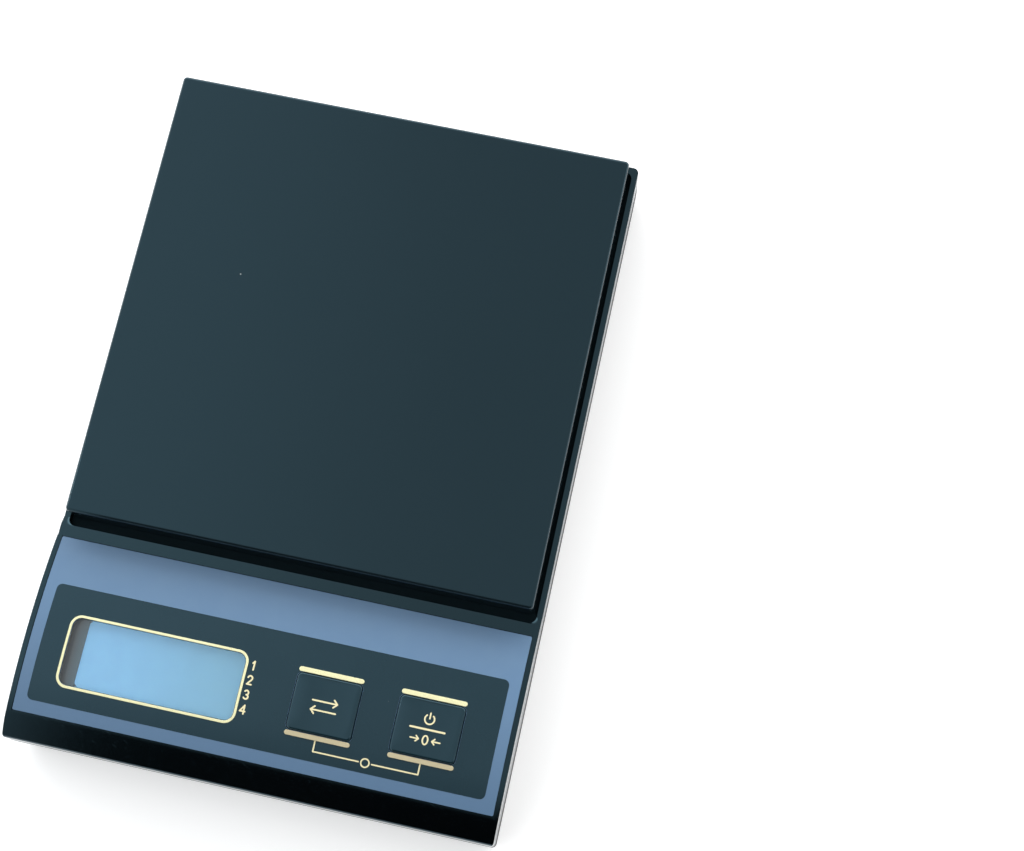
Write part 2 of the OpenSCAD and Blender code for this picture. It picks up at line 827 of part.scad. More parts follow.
module clock_crystal() {
    color([0.78, 0.78, 0.8])
    translate([crystal_x, board_cy + crystal_y, board_z - crystal_r]) rotate([0, 90, 0])
        cylinder(r = crystal_r, h = crystal_l, center = true);
}

module capacitors() {
    color([0.7, 0.7, 0.74])
    for (i = [0, 1]) translate([can_x + can_pitch * i, board_cy + can_y])
        rod(can_r, board_z - can_h, board_z);
}

module resistors() {
    color([0.12, 0.12, 0.13])
    for (i = [0 : 5])
        under_board(resistor_x + resistor_pitch * i, resistor_y, resistor_w, resistor_l, resistor_t);
}

module key_cap(x) {
    color([0.16, 0.22, 0.25]) {
        // Cap, with its crowned top standing above the panel
        intersection() {
            translate([x, controls_y])
                pillar(key_w, key_l, key_r, key_flange_z, crest_z + key_proud + over);
            along_x(case_w) translate([crest_y, crown_cz]) circle(crown_r + key_proud, $fn = crown_fn);
        }
        translate([x, controls_y]) {
            pillar(key_w + 2 * key_flange_w, key_l + 2 * key_flange_w, key_r + key_flange_w,
                key_flange_z, key_flange_z + key_flange_t);
            rod(stem_r, dome_top_z, key_flange_z + 0.2);
        }
    }
}

module mode_key() {
    key_cap(mode_x);
}

module tare_key() {
    key_cap(tare_x);
}

// Rubber dome that carries a key and springs it back
module key_dome(x) {
    top_r = stem_r + 0.4;
    pill_gap = key_travel + 0.1;
    color([0.75, 0.75, 0.73])
    translate([x, controls_y, board_top_z]) rotate_extrude() difference() {
        polygon([
            [0, 0], [dome_foot_r, 0], [dome_foot_r, 0.5], [dome_foot_r - 0.8, 0.5],
            [top_r, dome_h - 0.4], [top_r, dome_h], [0, dome_h]
        ]);
        polygon([
            [0, -over], [dome_foot_r - 0.8 - dome_wall, -over], [dome_foot_r - 0.8 - dome_wall, 0.3],
            [top_r - 0.4, pill_gap + 0.5], [1.8, pill_gap + 0.5], [1.8, pill_gap], [0, pill_gap]
        ]);
    }
}

module mode_dome() {
    key_dome(mode_x);
}

module tare_dome() {
    key_dome(tare_x);
}

// Sockets for the leads, open towards the rear
gauge_socket_x = -24;
gauge_socket_w = 8;
power_socket_x = -34;
power_socket_w = 5.6;
socket_l = 6;
socket_h = 4;
socket_wall = 0.5;
socket_back = 1.5;
socket_roof = 0.8;
// Distance of a socket's middle in front of the board's rear edge
socket_inset = 8;

module socket(x, w) {
    color([0.9, 0.88, 0.8])
    difference() {
        under_board(x, board_l / 2 - socket_inset, w, socket_l, socket_h);
        translate([x, board_cy + board_l / 2 - socket_inset + socket_back])
            slab(w - 2 * socket_wall, socket_l, board_z - socket_h + socket_wall, board_z - socket_roof);
    }
}

module gauge_socket() {
    socket(gauge_socket_x, gauge_socket_w);
}

module power_socket() {
    socket(power_socket_x, power_socket_w);
}

// Tube swept along a smooth curve through hand-set points
function curve_at(p, i, t) =
    let (
        n = len(p),
        a = p[max(i - 1, 0)],
        b = p[i],
        c = p[i + 1],
        d = p[min(i + 2, n - 1)]
    )
    0.5 * (2 * b + (c - a) * t + (2 * a - 5 * b + 4 * c - d) * t * t
        + (3 * b - a - 3 * c + d) * t * t * t);

function curve(p, steps) = concat(
    [for (i = [0 : len(p) - 2], s = [0 : steps - 1]) curve_at(p, i, s / steps)],
    [p[len(p) - 1]]
);

function unit(v) = v / norm(v);

function tangent(q, i) = unit(q[min(i + 1, len(q) - 1)] - q[max(i - 1, 0)]);

module tube(q, r, sides, ref = [0.31, 0.17, 0.94]) {
    rings = len(q);
    points = [
        for (i = [0 : rings - 1], k = [0 : sides - 1])
            let (
                t = tangent(q, i),
                u = unit(cross(t, ref)),
                v = cross(t, u),
                a = 360 * k / sides
            )
            q[i] + r * (u * cos(a) + v * sin(a))
    ];
    walls = [
        for (i = [0 : rings - 2], k = [0 : sides - 1])
            let (a = i * sides + k, b = i * sides + (k + 1) % sides)
            each [[a, a + sides, b], [b, a + sides, b + sides]]
    ];
    first = [[for (k = [0 : sides - 1]) k]];
    last = [[for (k = [sides - 1 : -1 : 0]) (rings - 1) * sides + k]];
    polyhedron(points, concat(walls, first, last), convexity = 4);
}

// Ends of the leads: in the sockets, beside the beam and behind the contact plates
plug_y = board_cy + board_l / 2 - 7;
plug_z = board_z - 1.8;
gauge_end_y = tray_cy - beam_w / 2 - 0.1;
gauge_end_z = beam_top_z - 1.4;
plate_end_x = -bay_half_x - 0.2;
plate_end_z = cell_z - 0.55;
// Height of the leads along the floor, and place of the first battery lead there
lead_low_z = 4.2;
floor_lead_x = power_socket_x - 4;
// Radii of the gauges' cable and of a battery lead
cable_r = 0.8;
lead_r = 0.6;

// Lead from the gauges to the board
gauge_route = [
    [-4, gauge_end_y, gauge_end_z], [-4.2, gauge_end_y - 1.4, gauge_end_z - 0.2],
    [-6, gauge_end_y - 5, gauge_end_z - 1.8], [-12, 6, 5], [-18, -6, lead_low_z],
    [-21, -18, lead_low_z], [-23, -28, 5.4], [gauge_socket_x, plug_y + 7.4, plug_z - 1.2],
    [gauge_socket_x, plug_y + 3.4, plug_z - 0.2], [gauge_socket_x, plug_y, plug_z]
];

// Lead from a contact plate to the board: cell's place, sideways place along the floor and in the socket
function power_route(cell_y, floor_x, plug_x) = [
    [plate_end_x, cell_y, plate_end_z],
    [plate_end_x - 2.2, cell_y - 0.4, plate_end_z],
    [(plate_end_x + floor_x) / 2, cell_y - 6, plate_end_z - 1],
    [floor_x + 1.6, cell_y - 18, 4.6],
    [floor_x, 14, lead_low_z],
    [floor_x, -8, lead_low_z],
    [floor_x + 1.3, -24, 4.8],
    [plug_x - 1.7, plug_y + 9.4, plug_z - 1.6],
    [plug_x, plug_y + 3.4, plug_z - 0.2],
    [plug_x, plug_y, plug_z]
];

module gauge_cable() {
    color([0.85, 0.85, 0.82]) tube(curve(gauge_route, 3), cable_r, 8);
}

module battery_leads() {
    color([0.75, 0.1, 0.08])
    tube(curve(power_route(bay_cy - cell_pitch / 2, floor_lead_x, power_socket_x + 1), 3), lead_r, 8);
    color([0.08, 0.08, 0.08])
    tube(curve(power_route(bay_cy + cell_pitch / 2, floor_lead_x - 2.6, power_socket_x - 1), 3), lead_r, 8);
}

module load_cell() {
    color([0.78, 0.79, 0.81])
    difference() {
        translate([0, tray_cy]) slab(beam_l, beam_w, beam_z, beam_top_z);
        for (x = [-1, 1])
            translate([x * flex_pitch / 2, tray_cy, beam_z + beam_h / 2]) rotate([90, 0, 0])
                cylinder(r = flex_r, h = beam_w + 2 * over, center = true);
        translate([0, tray_cy])
            slab(flex_pitch, beam_w + 2 * over, beam_z + (beam_h - flex_slot_h) / 2,
                beam_z + (beam_h + flex_slot_h) / 2);
        for (e = [-1, 1], x = [-1, 1])
            translate([e * beam_end_x + x * beam_screw_pitch / 2, tray_cy])
                rod(beam_screw_r + thread_fit, beam_z - over, beam_top_z + over);
    }
}

gauge_w = 5;
gauge_l = 4;
gauge_t = 0.15;

module strain_gauges() {
    color([0.8, 0.55, 0.2])
    for (x = [-1, 1]) translate([x * flex_pitch / 2, tray_cy]) {
        slab(gauge_w, gauge_l, beam_top_z, beam_top_z + gauge_t);
        slab(gauge_w, gauge_l, beam_z - gauge_t, beam_z);
    }
}

module gauge_coating() {
    color([0.88, 0.88, 0.85])
    translate([0, tray_cy]) slab(flex_pitch + 8, beam_w - 1.6, beam_top_z + gauge_t, hold_z - 0.2);
}

module load_cell_screws() {
    color([0.72, 0.73, 0.75])
    for (x = [-1, 1]) translate([-beam_end_x + x * beam_screw_pitch / 2, tray_cy])
        screw(beam_screw_r, cell_screw_l, beam_screw_head_r, beam_screw_head_h,
            stand_h + beam_screw_head_h);
}

module load_spacer() {
    color([0.74, 0.75, 0.77])
    translate([beam_end_x, tray_cy]) difference() {
        pillar(spacer_l, beam_w, 1, beam_top_z, carrier_z);
        for (x = [-1, 1]) translate([x * beam_screw_pitch / 2, 0])
            rod(beam_screw_r + hole_fit, beam_top_z - over, carrier_z + over);
    }
}

module carrier_screws() {
    color([0.72, 0.73, 0.75])
    for (x = [-1, 1]) translate([beam_end_x + x * beam_screw_pitch / 2, tray_cy, 2 * carrier_top_z])
        mirror([0, 0, 1])
            screw(beam_screw_r, carrier_top_z - beam_z - 2, beam_screw_head_r,
                beam_screw_head_h, carrier_top_z);
}

module tray_carrier() {
    rib_t = 1.4;
    color([0.2, 0.21, 0.22])
    translate([0, tray_cy]) difference() {
        union() {
            pillar(carrier_w, carrier_l, 4, carrier_z, carrier_top_z);
            // Stiffening rib round the edge
            difference() {
                pillar(carrier_w, carrier_l, 4, carrier_z, carrier_top_z + pad_h * 0.7);
                pillar(carrier_w - 2 * rib_t, carrier_l - 2 * rib_t, 4 - rib_t,
                    carrier_z - over, carrier_top_z + pad_h);
            }
        }
        for (x = [-1, 1], y = [-1, 1])
            translate([x * carrier_w / 5, y * carrier_l / 4])
                rod(lighten_r, carrier_z - over, carrier_top_z + over);
        for (x = [-1, 1]) translate([beam_end_x + x * beam_screw_pitch / 2, 0])
            rod(beam_screw_r + hole_fit, carrier_z - over, carrier_top_z + over);
    }
}

module tray_pads() {
    color([0.3, 0.3, 0.31])
    for (x = [-1, 1], y = [-1, 1])
        translate([x * (carrier_w / 2 - pad_inset), tray_cy + y * (carrier_l / 2 - pad_inset)])
            rod(pad_r, carrier_top_z, tray_under_z);
}

// Side profile of the tray with round top corners
module tray_profile(l) {
    h = tray_skirt_h + tray_edge_r;
    translate([0, tray_top_z - h / 2]) rounded(l, h, tray_edge_r);
}

module weighing_tray() {
    skirt_z = tray_top_z - tray_skirt_h;
    color([0.17, 0.23, 0.27])
    translate([0, tray_cy]) difference() {
        intersection() {
            pillar(tray_w, tray_l, tray_corner_r, skirt_z, tray_top_z);
            along_x(tray_w) tray_profile(tray_l);
            along_y(tray_l) tray_profile(tray_w);
        }
        pillar(tray_w - 2 * tray_skirt_t, tray_l - 2 * tray_skirt_t, 0.5,
            skirt_z - over, tray_under_z);
    }
}

module overload_stops() {
    color([0.8, 0.66, 0.35])
    at_stops() difference() {
        rod(stop_r, hold_z, stop_top_z);
        slab(2 * stop_r + over, 0.5, stop_top_z - 0.6, stop_top_z + over);
    }
}

// One cell along X, its tip towards +X
module battery_cell() {
    tip_h = 0.8;
    body_l = cell_len - tip_h;
    translate([-cell_len / 2, 0, 0]) rotate([0, 90, 0]) {
        cylinder(r = cell_r, h = body_l);
        cylinder(r = 1.9, h = cell_len);
    }
}

module battery_cells() {
    color([0.2, 0.35, 0.5])
    for (s = [-1, 1])
        translate([-s * spring_len / 2, bay_cy + s * cell_pitch / 2, cell_z])
            rotate(s > 0 ? 180 : 0) battery_cell();
}

// Radii of a contact spring and of its wire
spring_r = 2.9;
wire_r = 0.3;

// Open turns along X
function coil(len, r, turns, steps) = [
    for (i = [0 : turns * steps])
        let (a = 360 * i / steps)
        [len * i / (turns * steps), r * cos(a), r * sin(a)]
];

module battery_springs() {
    color([0.82, 0.82, 0.84])
    for (s = [-1, 1])
        translate([s * (cell_len + spring_len) / 2, bay_cy + s * cell_pitch / 2, cell_z])
            rotate(s > 0 ? 180 : 0) translate([wire_r, 0, 0])
                tube(coil(spring_len - 2 * wire_r, spring_r, 4, 16), wire_r, 6, [1, 0.05, 0.02]);
}

module battery_plates() {
    plate_h = 7.4;
    x = (cell_len + spring_len) / 2;
    color([0.8, 0.8, 0.78]) {
        for (s = [-1, 1]) translate([-x - plate_t, bay_cy + s * cell_pitch / 2 - 4.2, cell_z - plate_h / 2])
            cube([plate_t, 8.4, plate_h]);
        translate([x, bay_cy - cell_pitch / 2 - 4.2, cell_z - plate_h / 2])
            cube([plate_t, cell_pitch + 8.4, plate_h]);
    }
}

module battery_door() {
    half = door_half - door_gap;
    color([0.09, 0.11, 0.13]) {
        intersection() {
            union() {
                translate([-half, door_y0, stand_h]) cube([2 * half, rear_y - door_y0, door_t]);
                translate([-half, rear_y - wall_t, stand_h]) cube([2 * half, wall_t, flap_h]);
                // Side tongues
                translate([-half - tongue_w, door_y0 + 1.4, stand_h + 0.55])
                    cube([2 * (half + tongue_w), bay_half_y * 2, tongue_t]);
            }
            lower_outside();
        }
        // Grip ribs
        for (i = [0 : 4]) translate([0, rear_y - 8 + 1.4 * i])
            pillar(16 - 2 * i, 0.7, 0.3, stand_h - 0.35, stand_h + 0.1);
    }
}

module case_screws() {
    color([0.3, 0.3, 0.31])
    at_case_screws() screw(case_screw_r, case_screw_len, case_head_r, case_head_h, case_head_seat);
}

module rubber_feet() {
    color([0.12, 0.12, 0.12])
    for (x = [-1, 1], y = [-1, 1]) translate([x * foot_x, y * foot_y]) rotate_extrude()
        polygon([
            [0, 0], [foot_r - 0.9, 0], [foot_r - 0.5, 0.3],
            [foot_r - 0.3, stand_h + foot_seat], [0, stand_h + foot_seat]
        ]);
}

upper_case();
lower_case();
control_overlay();
display_lens();
lens_gasket();
display_bezel();
display_glass();
contact_strips();
main_board();
board_screws();
processor_chip();
converter_chip();
clock_crystal();
capacitors();
resistors();
mode_key();
tare_key();
mode_dome();
tare_dome();
gauge_socket();
power_socket();
gauge_cable();
battery_leads();
load_cell();
strain_gauges();
gauge_coating();
load_cell_screws();
load_spacer();
carrier_screws();
tray_carrier();
tray_pads();
weighing_tray();
overload_stops();
battery_cells();
battery_springs();
battery_plates();
battery_door();
case_screws();
rubber_feet();
blank_label();
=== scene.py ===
"""Looks of a digital pocket scale: tray, two-shell case, printed panel, display, keys and works.

Lengths are millimetres in the row frame until a mesh is made, which is in metres. Z = 0 is the
surface that the scale stands on, +Y points to its rear and the origin is mid-case.
"""
import json
import logging
import math
from collections.abc import Callable, Iterable, Sequence
from dataclasses import dataclass, field, replace
from enum import Enum

import bmesh
import bpy
from mathutils import Matrix, Vector
from mathutils.geometry import delaunay_2d_cdt

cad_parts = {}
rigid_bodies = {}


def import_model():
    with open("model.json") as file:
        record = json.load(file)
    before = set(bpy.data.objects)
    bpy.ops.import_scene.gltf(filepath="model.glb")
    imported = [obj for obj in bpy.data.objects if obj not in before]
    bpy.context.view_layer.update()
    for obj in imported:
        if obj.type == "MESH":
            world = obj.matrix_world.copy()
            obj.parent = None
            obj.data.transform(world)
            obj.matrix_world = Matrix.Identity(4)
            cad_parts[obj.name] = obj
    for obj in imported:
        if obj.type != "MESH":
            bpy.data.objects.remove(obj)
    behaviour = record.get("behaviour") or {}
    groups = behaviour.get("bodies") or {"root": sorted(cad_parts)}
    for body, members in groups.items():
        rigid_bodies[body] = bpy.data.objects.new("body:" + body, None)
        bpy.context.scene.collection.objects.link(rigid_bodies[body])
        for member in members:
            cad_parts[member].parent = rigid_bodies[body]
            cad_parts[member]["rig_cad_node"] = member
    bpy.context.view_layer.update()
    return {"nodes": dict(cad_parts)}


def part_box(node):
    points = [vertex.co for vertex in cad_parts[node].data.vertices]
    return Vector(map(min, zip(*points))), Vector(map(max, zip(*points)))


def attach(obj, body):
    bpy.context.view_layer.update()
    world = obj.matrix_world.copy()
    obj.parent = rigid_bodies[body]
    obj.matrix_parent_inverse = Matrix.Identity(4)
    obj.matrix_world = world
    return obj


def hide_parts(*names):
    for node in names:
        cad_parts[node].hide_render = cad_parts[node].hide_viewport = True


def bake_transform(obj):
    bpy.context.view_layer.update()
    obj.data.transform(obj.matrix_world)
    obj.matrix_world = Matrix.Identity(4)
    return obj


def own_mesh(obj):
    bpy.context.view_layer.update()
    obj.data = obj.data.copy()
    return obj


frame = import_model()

MM = 0.001
Point = tuple[float, float]
Loop = list[Point]
Colour = tuple[float, float, float]
Surface = Callable[[float, float, float], Vector]
log = logging.getLogger("pocket_scale")
# The front face, from which places along the panel are measured
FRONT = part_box("upper_case")[0].y / MM


class Body(Enum):
    """The CAD bodies that pieces ride on."""

    BASE = "base"
    PLATFORM = "platform"
    MODE = "mode_button"
    TARE = "tare_button"


# Shader maths


class Sock:
    """An output socket that takes part in Python sums; each operator adds a Math node."""

    def __init__(self, nodes: "Nodes", socket: bpy.types.NodeSocket) -> None:
        """Wraps a socket.

        Args:
            nodes: The tree that new Math nodes go into.
            socket: The output socket.
        """
        self.nodes, self.socket = nodes, socket

    def _sum(self, operation: str, a: "Sock | float", b: "Sock | float" = 0.0) -> "Sock":
        """One Math node.

        Args:
            operation: Its operation.
            a: First value.
            b: Second value.

        Returns:
            The node's output.
        """
        return self.nodes.add("ShaderNodeMath", {"operation": operation}, {0: a, 1: b})

    def __add__(self, other: "Sock | float") -> "Sock":
        """Sum."""
        return self._sum("ADD", self, other)

    def __radd__(self, other: "Sock | float") -> "Sock":
        """Reflected sum."""
        return self._sum("ADD", other, self)

    def __sub__(self, other: "Sock | float") -> "Sock":
        """Difference."""
        return self._sum("SUBTRACT", self, other)

    def __rsub__(self, other: "Sock | float") -> "Sock":
        """Reflected difference."""
        return self._sum("SUBTRACT", other, self)

    def __mul__(self, other: "Sock | float") -> "Sock":
        """Product."""
        return self._sum("MULTIPLY", self, other)

    def __rmul__(self, other: "Sock | float") -> "Sock":
        """Reflected product."""
        return self._sum("MULTIPLY", other, self)

    def least(self, other: "Sock | float") -> "Sock":
        """The smaller of two values."""
        return self._sum("MINIMUM", self, other)

    def step(self, low: float, high: float) -> "Sock":
        """A smooth step.

        Args:
            low: Value that gives 0.
            high: Value that gives 1; a high under low makes the step fall.

        Returns:
            The step, from 0 to 1.
        """
        ends = {0: self, 1: min(low, high), 2: max(low, high)}
        rise = self.nodes.add("ShaderNodeMapRange", {"interpolation_type": "SMOOTHSTEP"}, ends)
        return rise if high >= low else 1 - rise


class Nodes:
    """One node tree, and the few ways in which this file adds to it."""

    def __init__(self, tree: bpy.types.NodeTree) -> None:
        """Empties a tree.

        Args:
            tree: The node tree of a material or the world.
        """
        self.tree = tree
        tree.nodes.clear()

    def node(self, kind: str, settings: dict | None = None, values: dict | None = None) -> bpy.types.Node:
        """Adds any node.

        Args:
            kind: The node's type name.
            settings: Its own settings, set first; "stops" gives a ramp's (position, colour) pairs.
            values: Sockets by name or number, each a number, a colour or a Sock.

        Returns:
            The node.
        """
        made = self.tree.nodes.new(kind)
        for key, value in (settings or {}).items():
            if key == "stops":
                ramp = made.color_ramp
                for place, (position, colour) in enumerate(value):
                    stop = ramp.elements[place] if place < 2 else ramp.elements.new(position)
                    stop.position, stop.color = position, (*colour, 1.0)
            else:
                setattr(made, key, value)
        for key, value in (values or {}).items():
            target = made.inputs[key]
            if isinstance(value, Sock):
                self.tree.links.new(value.socket, target)
            elif isinstance(value, tuple) and target.type == "RGBA":
                target.default_value = (*value[:3], 1.0)
            else:
                target.default_value = value
        return made

    def add(
        self, kind: str, settings: dict | None = None, values: dict | None = None, out: str | int = 0
    ) -> Sock:
        """Adds any node and hands back one of its outputs.

        Args:
            kind: The node's type name.
            settings: As in node().
            values: As in node().
            out: The output, by name or number.

        Returns:
            That output.
        """
        return Sock(self, self.node(kind, settings, values).outputs[out])

    def axis(self, place: Sock, index: int) -> Sock:
        """One coordinate of a place: 0 is X, 1 is Y and 2 is Z."""
        return self.add("ShaderNodeSeparateXYZ", {}, {0: place}, index)

    def vector(self, operation: str, a: Sock, b: Sock | Sequence[float], out: str | int = 0) -> Sock:
        """Vector Math on a and b."""
        return self.add("ShaderNodeVectorMath", {"operation": operation}, {0: a, 1: b}, out)

    def mix(self, share: Sock | float, a: Sock | Colour, b: Sock | Colour) -> Sock:
        """Mixes two colours.

        Args:
            share: 0 gives a, 1 gives b.
            a: First colour.
            b: Second colour.

        Returns:
            The mixed colour.
        """
        return self.add("ShaderNodeMix", {"data_type": "RGBA"}, {0: share, 6: a, 7: b}, 2)

    def noise(self, place: Sock, size: float, detail: float = 2.0) -> Sock:
        """Noise whose lumps are about size mm across."""
        values = {"Vector": place, "Scale": 1 / (size * MM), "Detail": detail, "Roughness": 0.55}
        return self.add("ShaderNodeTexNoise", {}, values)

    def bump(self, height: Sock, depth: float, under: Sock | None = None) -> Sock:
        """Bump whose height of 1 stands depth mm high, over an earlier bump if one is given."""
        values: dict = {"Height": height, "Distance": depth * MM, "Strength": 1.0}
        if under is not None:
            values["Normal"] = under
        return self.add("ShaderNodeBump", {}, values)

    def finish(self, shader: bpy.types.Node) -> None:
        """Sends a shader to the material's output."""
        self.node("ShaderNodeOutputMaterial", {}, {0: Sock(self, shader.outputs[0])})


# Finishes


@dataclass(frozen=True)
class Look:
    """Anything that a piece can be finished with.

    Attributes:
        slot: The record's material slot.
    """

    slot: str

    def inputs(self, n: Nodes, place: Sock) -> dict:
        """The shader's inputs.

        Args:
            n: The material's nodes.
            place: Object coordinates.

        Returns:
            Each input's value or socket, by name.
        """
        raise NotImplementedError

    def material(self, name: str) -> bpy.types.Material:
        """Builds the material.

        Args:
            name: The material's name.

        Returns:
            The material.
        """
        made = bpy.data.materials.new(name)
        made.use_nodes = True
        n = Nodes(made.node_tree)
        place = n.add("ShaderNodeTexCoord", {}, {}, "Object")
        n.finish(n.node("ShaderNodeBsdfPrincipled", {}, self.inputs(n, place)))
        return made


@dataclass(frozen=True)
class Finish(Look):
    """A moulded, printed, rubber or metal surface.

    Attributes:
        colour: Base colour, linear.
        roughness: Middle of its roughness.
        second: Colour that its mottling goes to, or None for a slightly lighter one.
        mottle: Share of the second colour at the mottling's peaks.
        mottle_size: Size of the mottling in mm.
        grain: Size of the grain in mm.
        depth: Height of the grain in mm.
        stretch: How much longer the grain is along X, for brushed and drawn metal.
        metallic: Metallic share.
        ior: Index of refraction.
        tint: Tint of the reflection at right angles.
        coat: Clear coat.
        scratches: Strength of hairline scratches.
        dust: Strength of dust specks.
        pores: Depth in mm of round pores the size of the grain.
    """

    colour: Colour
    roughness: float
    second: Colour | None = None
    mottle: float = 0.3
    mottle_size: float = 9.0
    grain: float = 0.2
    depth: float = 0.004
    stretch: float = 1.0
    metallic: float = 0.0
    ior: float = 1.5
    tint: Colour = (1.0, 1.0, 1.0)
    coat: float = 0.0
    scratches: float = 0.0
    dust: float = 0.0
    pores: float = 0.0

    def colours(self, n: Nodes, place: Sock) -> Sock:
        """The mottled base colour.

        Args:
            n: The material's nodes.
            place: Object coordinates.

        Returns:
            The colour.
        """
        second = self.second or tuple(min(1.0, c * 1.25 + 0.002) for c in self.colour)
        share = n.noise(place, self.mottle_size, 3.0).step(0.35, 0.7) * self.mottle
        return n.mix(share, self.colour, second)

    def roughnesses(self, n: Nodes, place: Sock, grain: Sock) -> Sock:
        """The roughness, which varies with the grain and over wider patches.

        Args:
            n: The material's nodes.
            place: Object coordinates.
            grain: The grain's noise.

        Returns:
            The roughness.
        """
        wide = n.noise(place, self.mottle_size * 2) - 0.5
        return self.roughness + (grain - 0.5) * (0.25 * self.roughness) + wide * (0.3 * self.roughness)

    def inputs(self, n: Nodes, place: Sock) -> dict:
        """The shader's inputs."""
        drawn = n.vector("MULTIPLY", place, (1 / self.stretch, 1.0, 1.0))
        colour = self.colours(n, place)
        grain = n.noise(drawn, self.grain, 3.0)
        rough = self.roughnesses(n, place, grain)
        normal = n.bump(grain, self.depth)
        if self.pores:
            cells = n.add("ShaderNodeTexVoronoi", {}, {"Vector": place, "Scale": 1 / (self.grain * MM)})
            normal = n.bump(cells.step(0.0, 0.6), self.pores, normal)
        if self.scratches:
            scratch = self.hairlines(n, place)
            rough = rough + scratch * (0.25 * self.scratches)
            normal = n.bump(1 - scratch, 0.0012 * self.scratches, normal)
        if self.dust:
            speck = self.specks(n, place) * self.dust
            colour = n.mix(speck, colour, (0.42, 0.43, 0.42))
            rough = rough + speck * 0.5
        return {
            "Base Color": colour, "Roughness": rough, "Normal": normal, "Metallic": self.metallic,
            "IOR": self.ior, "Specular Tint": self.tint, "Coat Weight": self.coat,
        }

    def hairlines(self, n: Nodes, place: Sock) -> Sock:
        """Fine straight scratches in two directions, 1 on a scratch.

        Args:
            n: The material's nodes.
            place: Object coordinates.

        Returns:
            The mask.
        """
        total: Sock | None = None
        for turn, gate in ((0.5, 0.71), (-0.9, 0.73)):
            turned = n.add(
                "ShaderNodeVectorRotate", {"rotation_type": "Z_AXIS"}, {"Vector": place, "Angle": turn}
            )
            line = n.noise(n.vector("MULTIPLY", turned, (0.012, 1.0, 1.0)), 0.22, 1.0).step(gate, gate + 0.03)
            total = line if total is None else total + line
        return total.least(1.0)

    def specks(self, n: Nodes, place: Sock) -> Sock:
        """A few dust specks, 1 on a speck.

        Args:
            n: The material's nodes.
            place: Object coordinates.

        Returns:
            The mask.
        """
        cells = n.node("ShaderNodeTexVoronoi", {}, {"Vector": place, "Scale": 1 / (6.5 * MM)})
        chance = n.add("ShaderNodeSeparateColor", {}, {0: Sock(n, cells.outputs["Color"])})
        return Sock(n, cells.outputs["Distance"]).step(0.032, 0.018) * chance.step(0.78, 0.8)


@dataclass(frozen=True)
class WellCase(Finish):
    """Polished case whose well floor under the tray is left matt."""

    well_z: float = 13.0
    matt: float = 0.85

    def roughnesses(self, n: Nodes, place: Sock, grain: Sock) -> Sock:
        """Polished above the well's floor and matt on it."""
        polished = super().roughnesses(n, place, grain)
        height = n.axis(place, 2)
        floor = height.step((self.well_z + 0.12) * MM, (self.well_z + 0.04) * MM)
        return polished + floor * height.step(12.0 * MM, 12.2 * MM) * (self.matt - self.roughness)


@dataclass(frozen=True)
class ClearLens(Look):
    """Clear acrylic of the window lens."""

    slot: str = "clear_lens"
    ior: float = 1.49

    def inputs(self, n: Nodes, place: Sock) -> dict:
        """The shader's inputs."""
        smear = n.noise(place, 7.0, 2.0).step(0.5, 0.75) * 0.03
        return {
            "Base Color": (0.97, 0.99, 1.0), "Roughness": smear, "IOR": self.ior, "Transmission Weight": 1.0,
        }


@dataclass(frozen=True)
class DisplayFilm(Look):
    """The blank reflective display: pale blue at its left, greener at its right, faintly clouded, and given a
    painted glow though it is no lamp.
    """

    slot: str = "display_film"
    colour: Colour = (0.235, 0.57, 0.90)
    right: Colour = (0.20, 0.47, 0.65)
    shade: Colour = (0.18, 0.44, 0.66)
    left_x: float = -38.0
    right_x: float = -6.0
    # Emission strength: painted glow, since the reflective display gives no light of its own
    painted_glow: float = 0.35

    def inputs(self, n: Nodes, place: Sock) -> dict:
        """The shader's inputs."""
        cloud = n.noise(place, 3.0, 4.0).step(0.3, 0.7) * 0.45
        cloud = cloud + n.noise(place, 0.35, 2.0).step(0.3, 0.7) * 0.4
        across = n.axis(place, 0).step(self.left_x * MM, self.right_x * MM)
        tone = n.mix(across, self.colour, self.right)
        colour = n.mix(cloud * 0.7, tone, self.shade)
        grain = n.bump(n.noise(place, 0.08, 1.0), 0.003)
        # The emission is painted glow that brightens the display
        return {
            "Base Color": colour, "Emission Color": colour, "Emission Strength": self.painted_glow,
            "Roughness": 0.45 + cloud * 0.1, "Normal": grain,
        }


@dataclass(frozen=True)
class TwoToneAndPaintedShade(Finish):
    """A finish that goes along X from one colour to its second: on the bezel's rail the dark-to-light step is
    painted shade, on a cell's wrap it is the real two-tone print.

    Attributes:
        start_x: Where it leaves the first colour.
        end_x: Where it reaches the second.
    """

    start_x: float = 0.0
    end_x: float = 1.0

    def colours(self, n: Nodes, place: Sock) -> Sock:
        """The first colour, then the second."""
        share = n.axis(place, 0).step(self.start_x * MM, self.end_x * MM)
        return n.mix(share, self.colour, self.second)


@dataclass(frozen=True)
class ShadedPanelFilm(Finish):
    """Printed film with painted shade that darkens it towards the panel's front."""

    # deep: share of the colour kept at the front, the strength of the painted shade
    deep: float = 0.84
    front_y: float = FRONT + 4.0
    rear_y: float = FRONT + 36.0

    def colours(self, n: Nodes, place: Sock) -> Sock:
        """The mottled colour, darkened in front by painted shade."""
        share = n.axis(place, 1).step(self.front_y * MM, self.rear_y * MM)
        deep = tuple(c * self.deep for c in self.colour)
        return n.mix(share, deep, super().colours(n, place))


@dataclass(frozen=True)
class PaleFloor(Look):
    """The plain floor."""

    def inputs(self, n: Nodes, place: Sock) -> dict:
        """The shader's inputs."""
        colour = n.mix(n.noise(place, 60.0, 1.0), (0.93, 0.93, 0.93), (0.95, 0.95, 0.95))
        return {
            "Base Color": colour, "Roughness": 0.9, "Emission Color": (1.0, 1.0, 1.0),
            "Emission Strength": 0.4,
        }


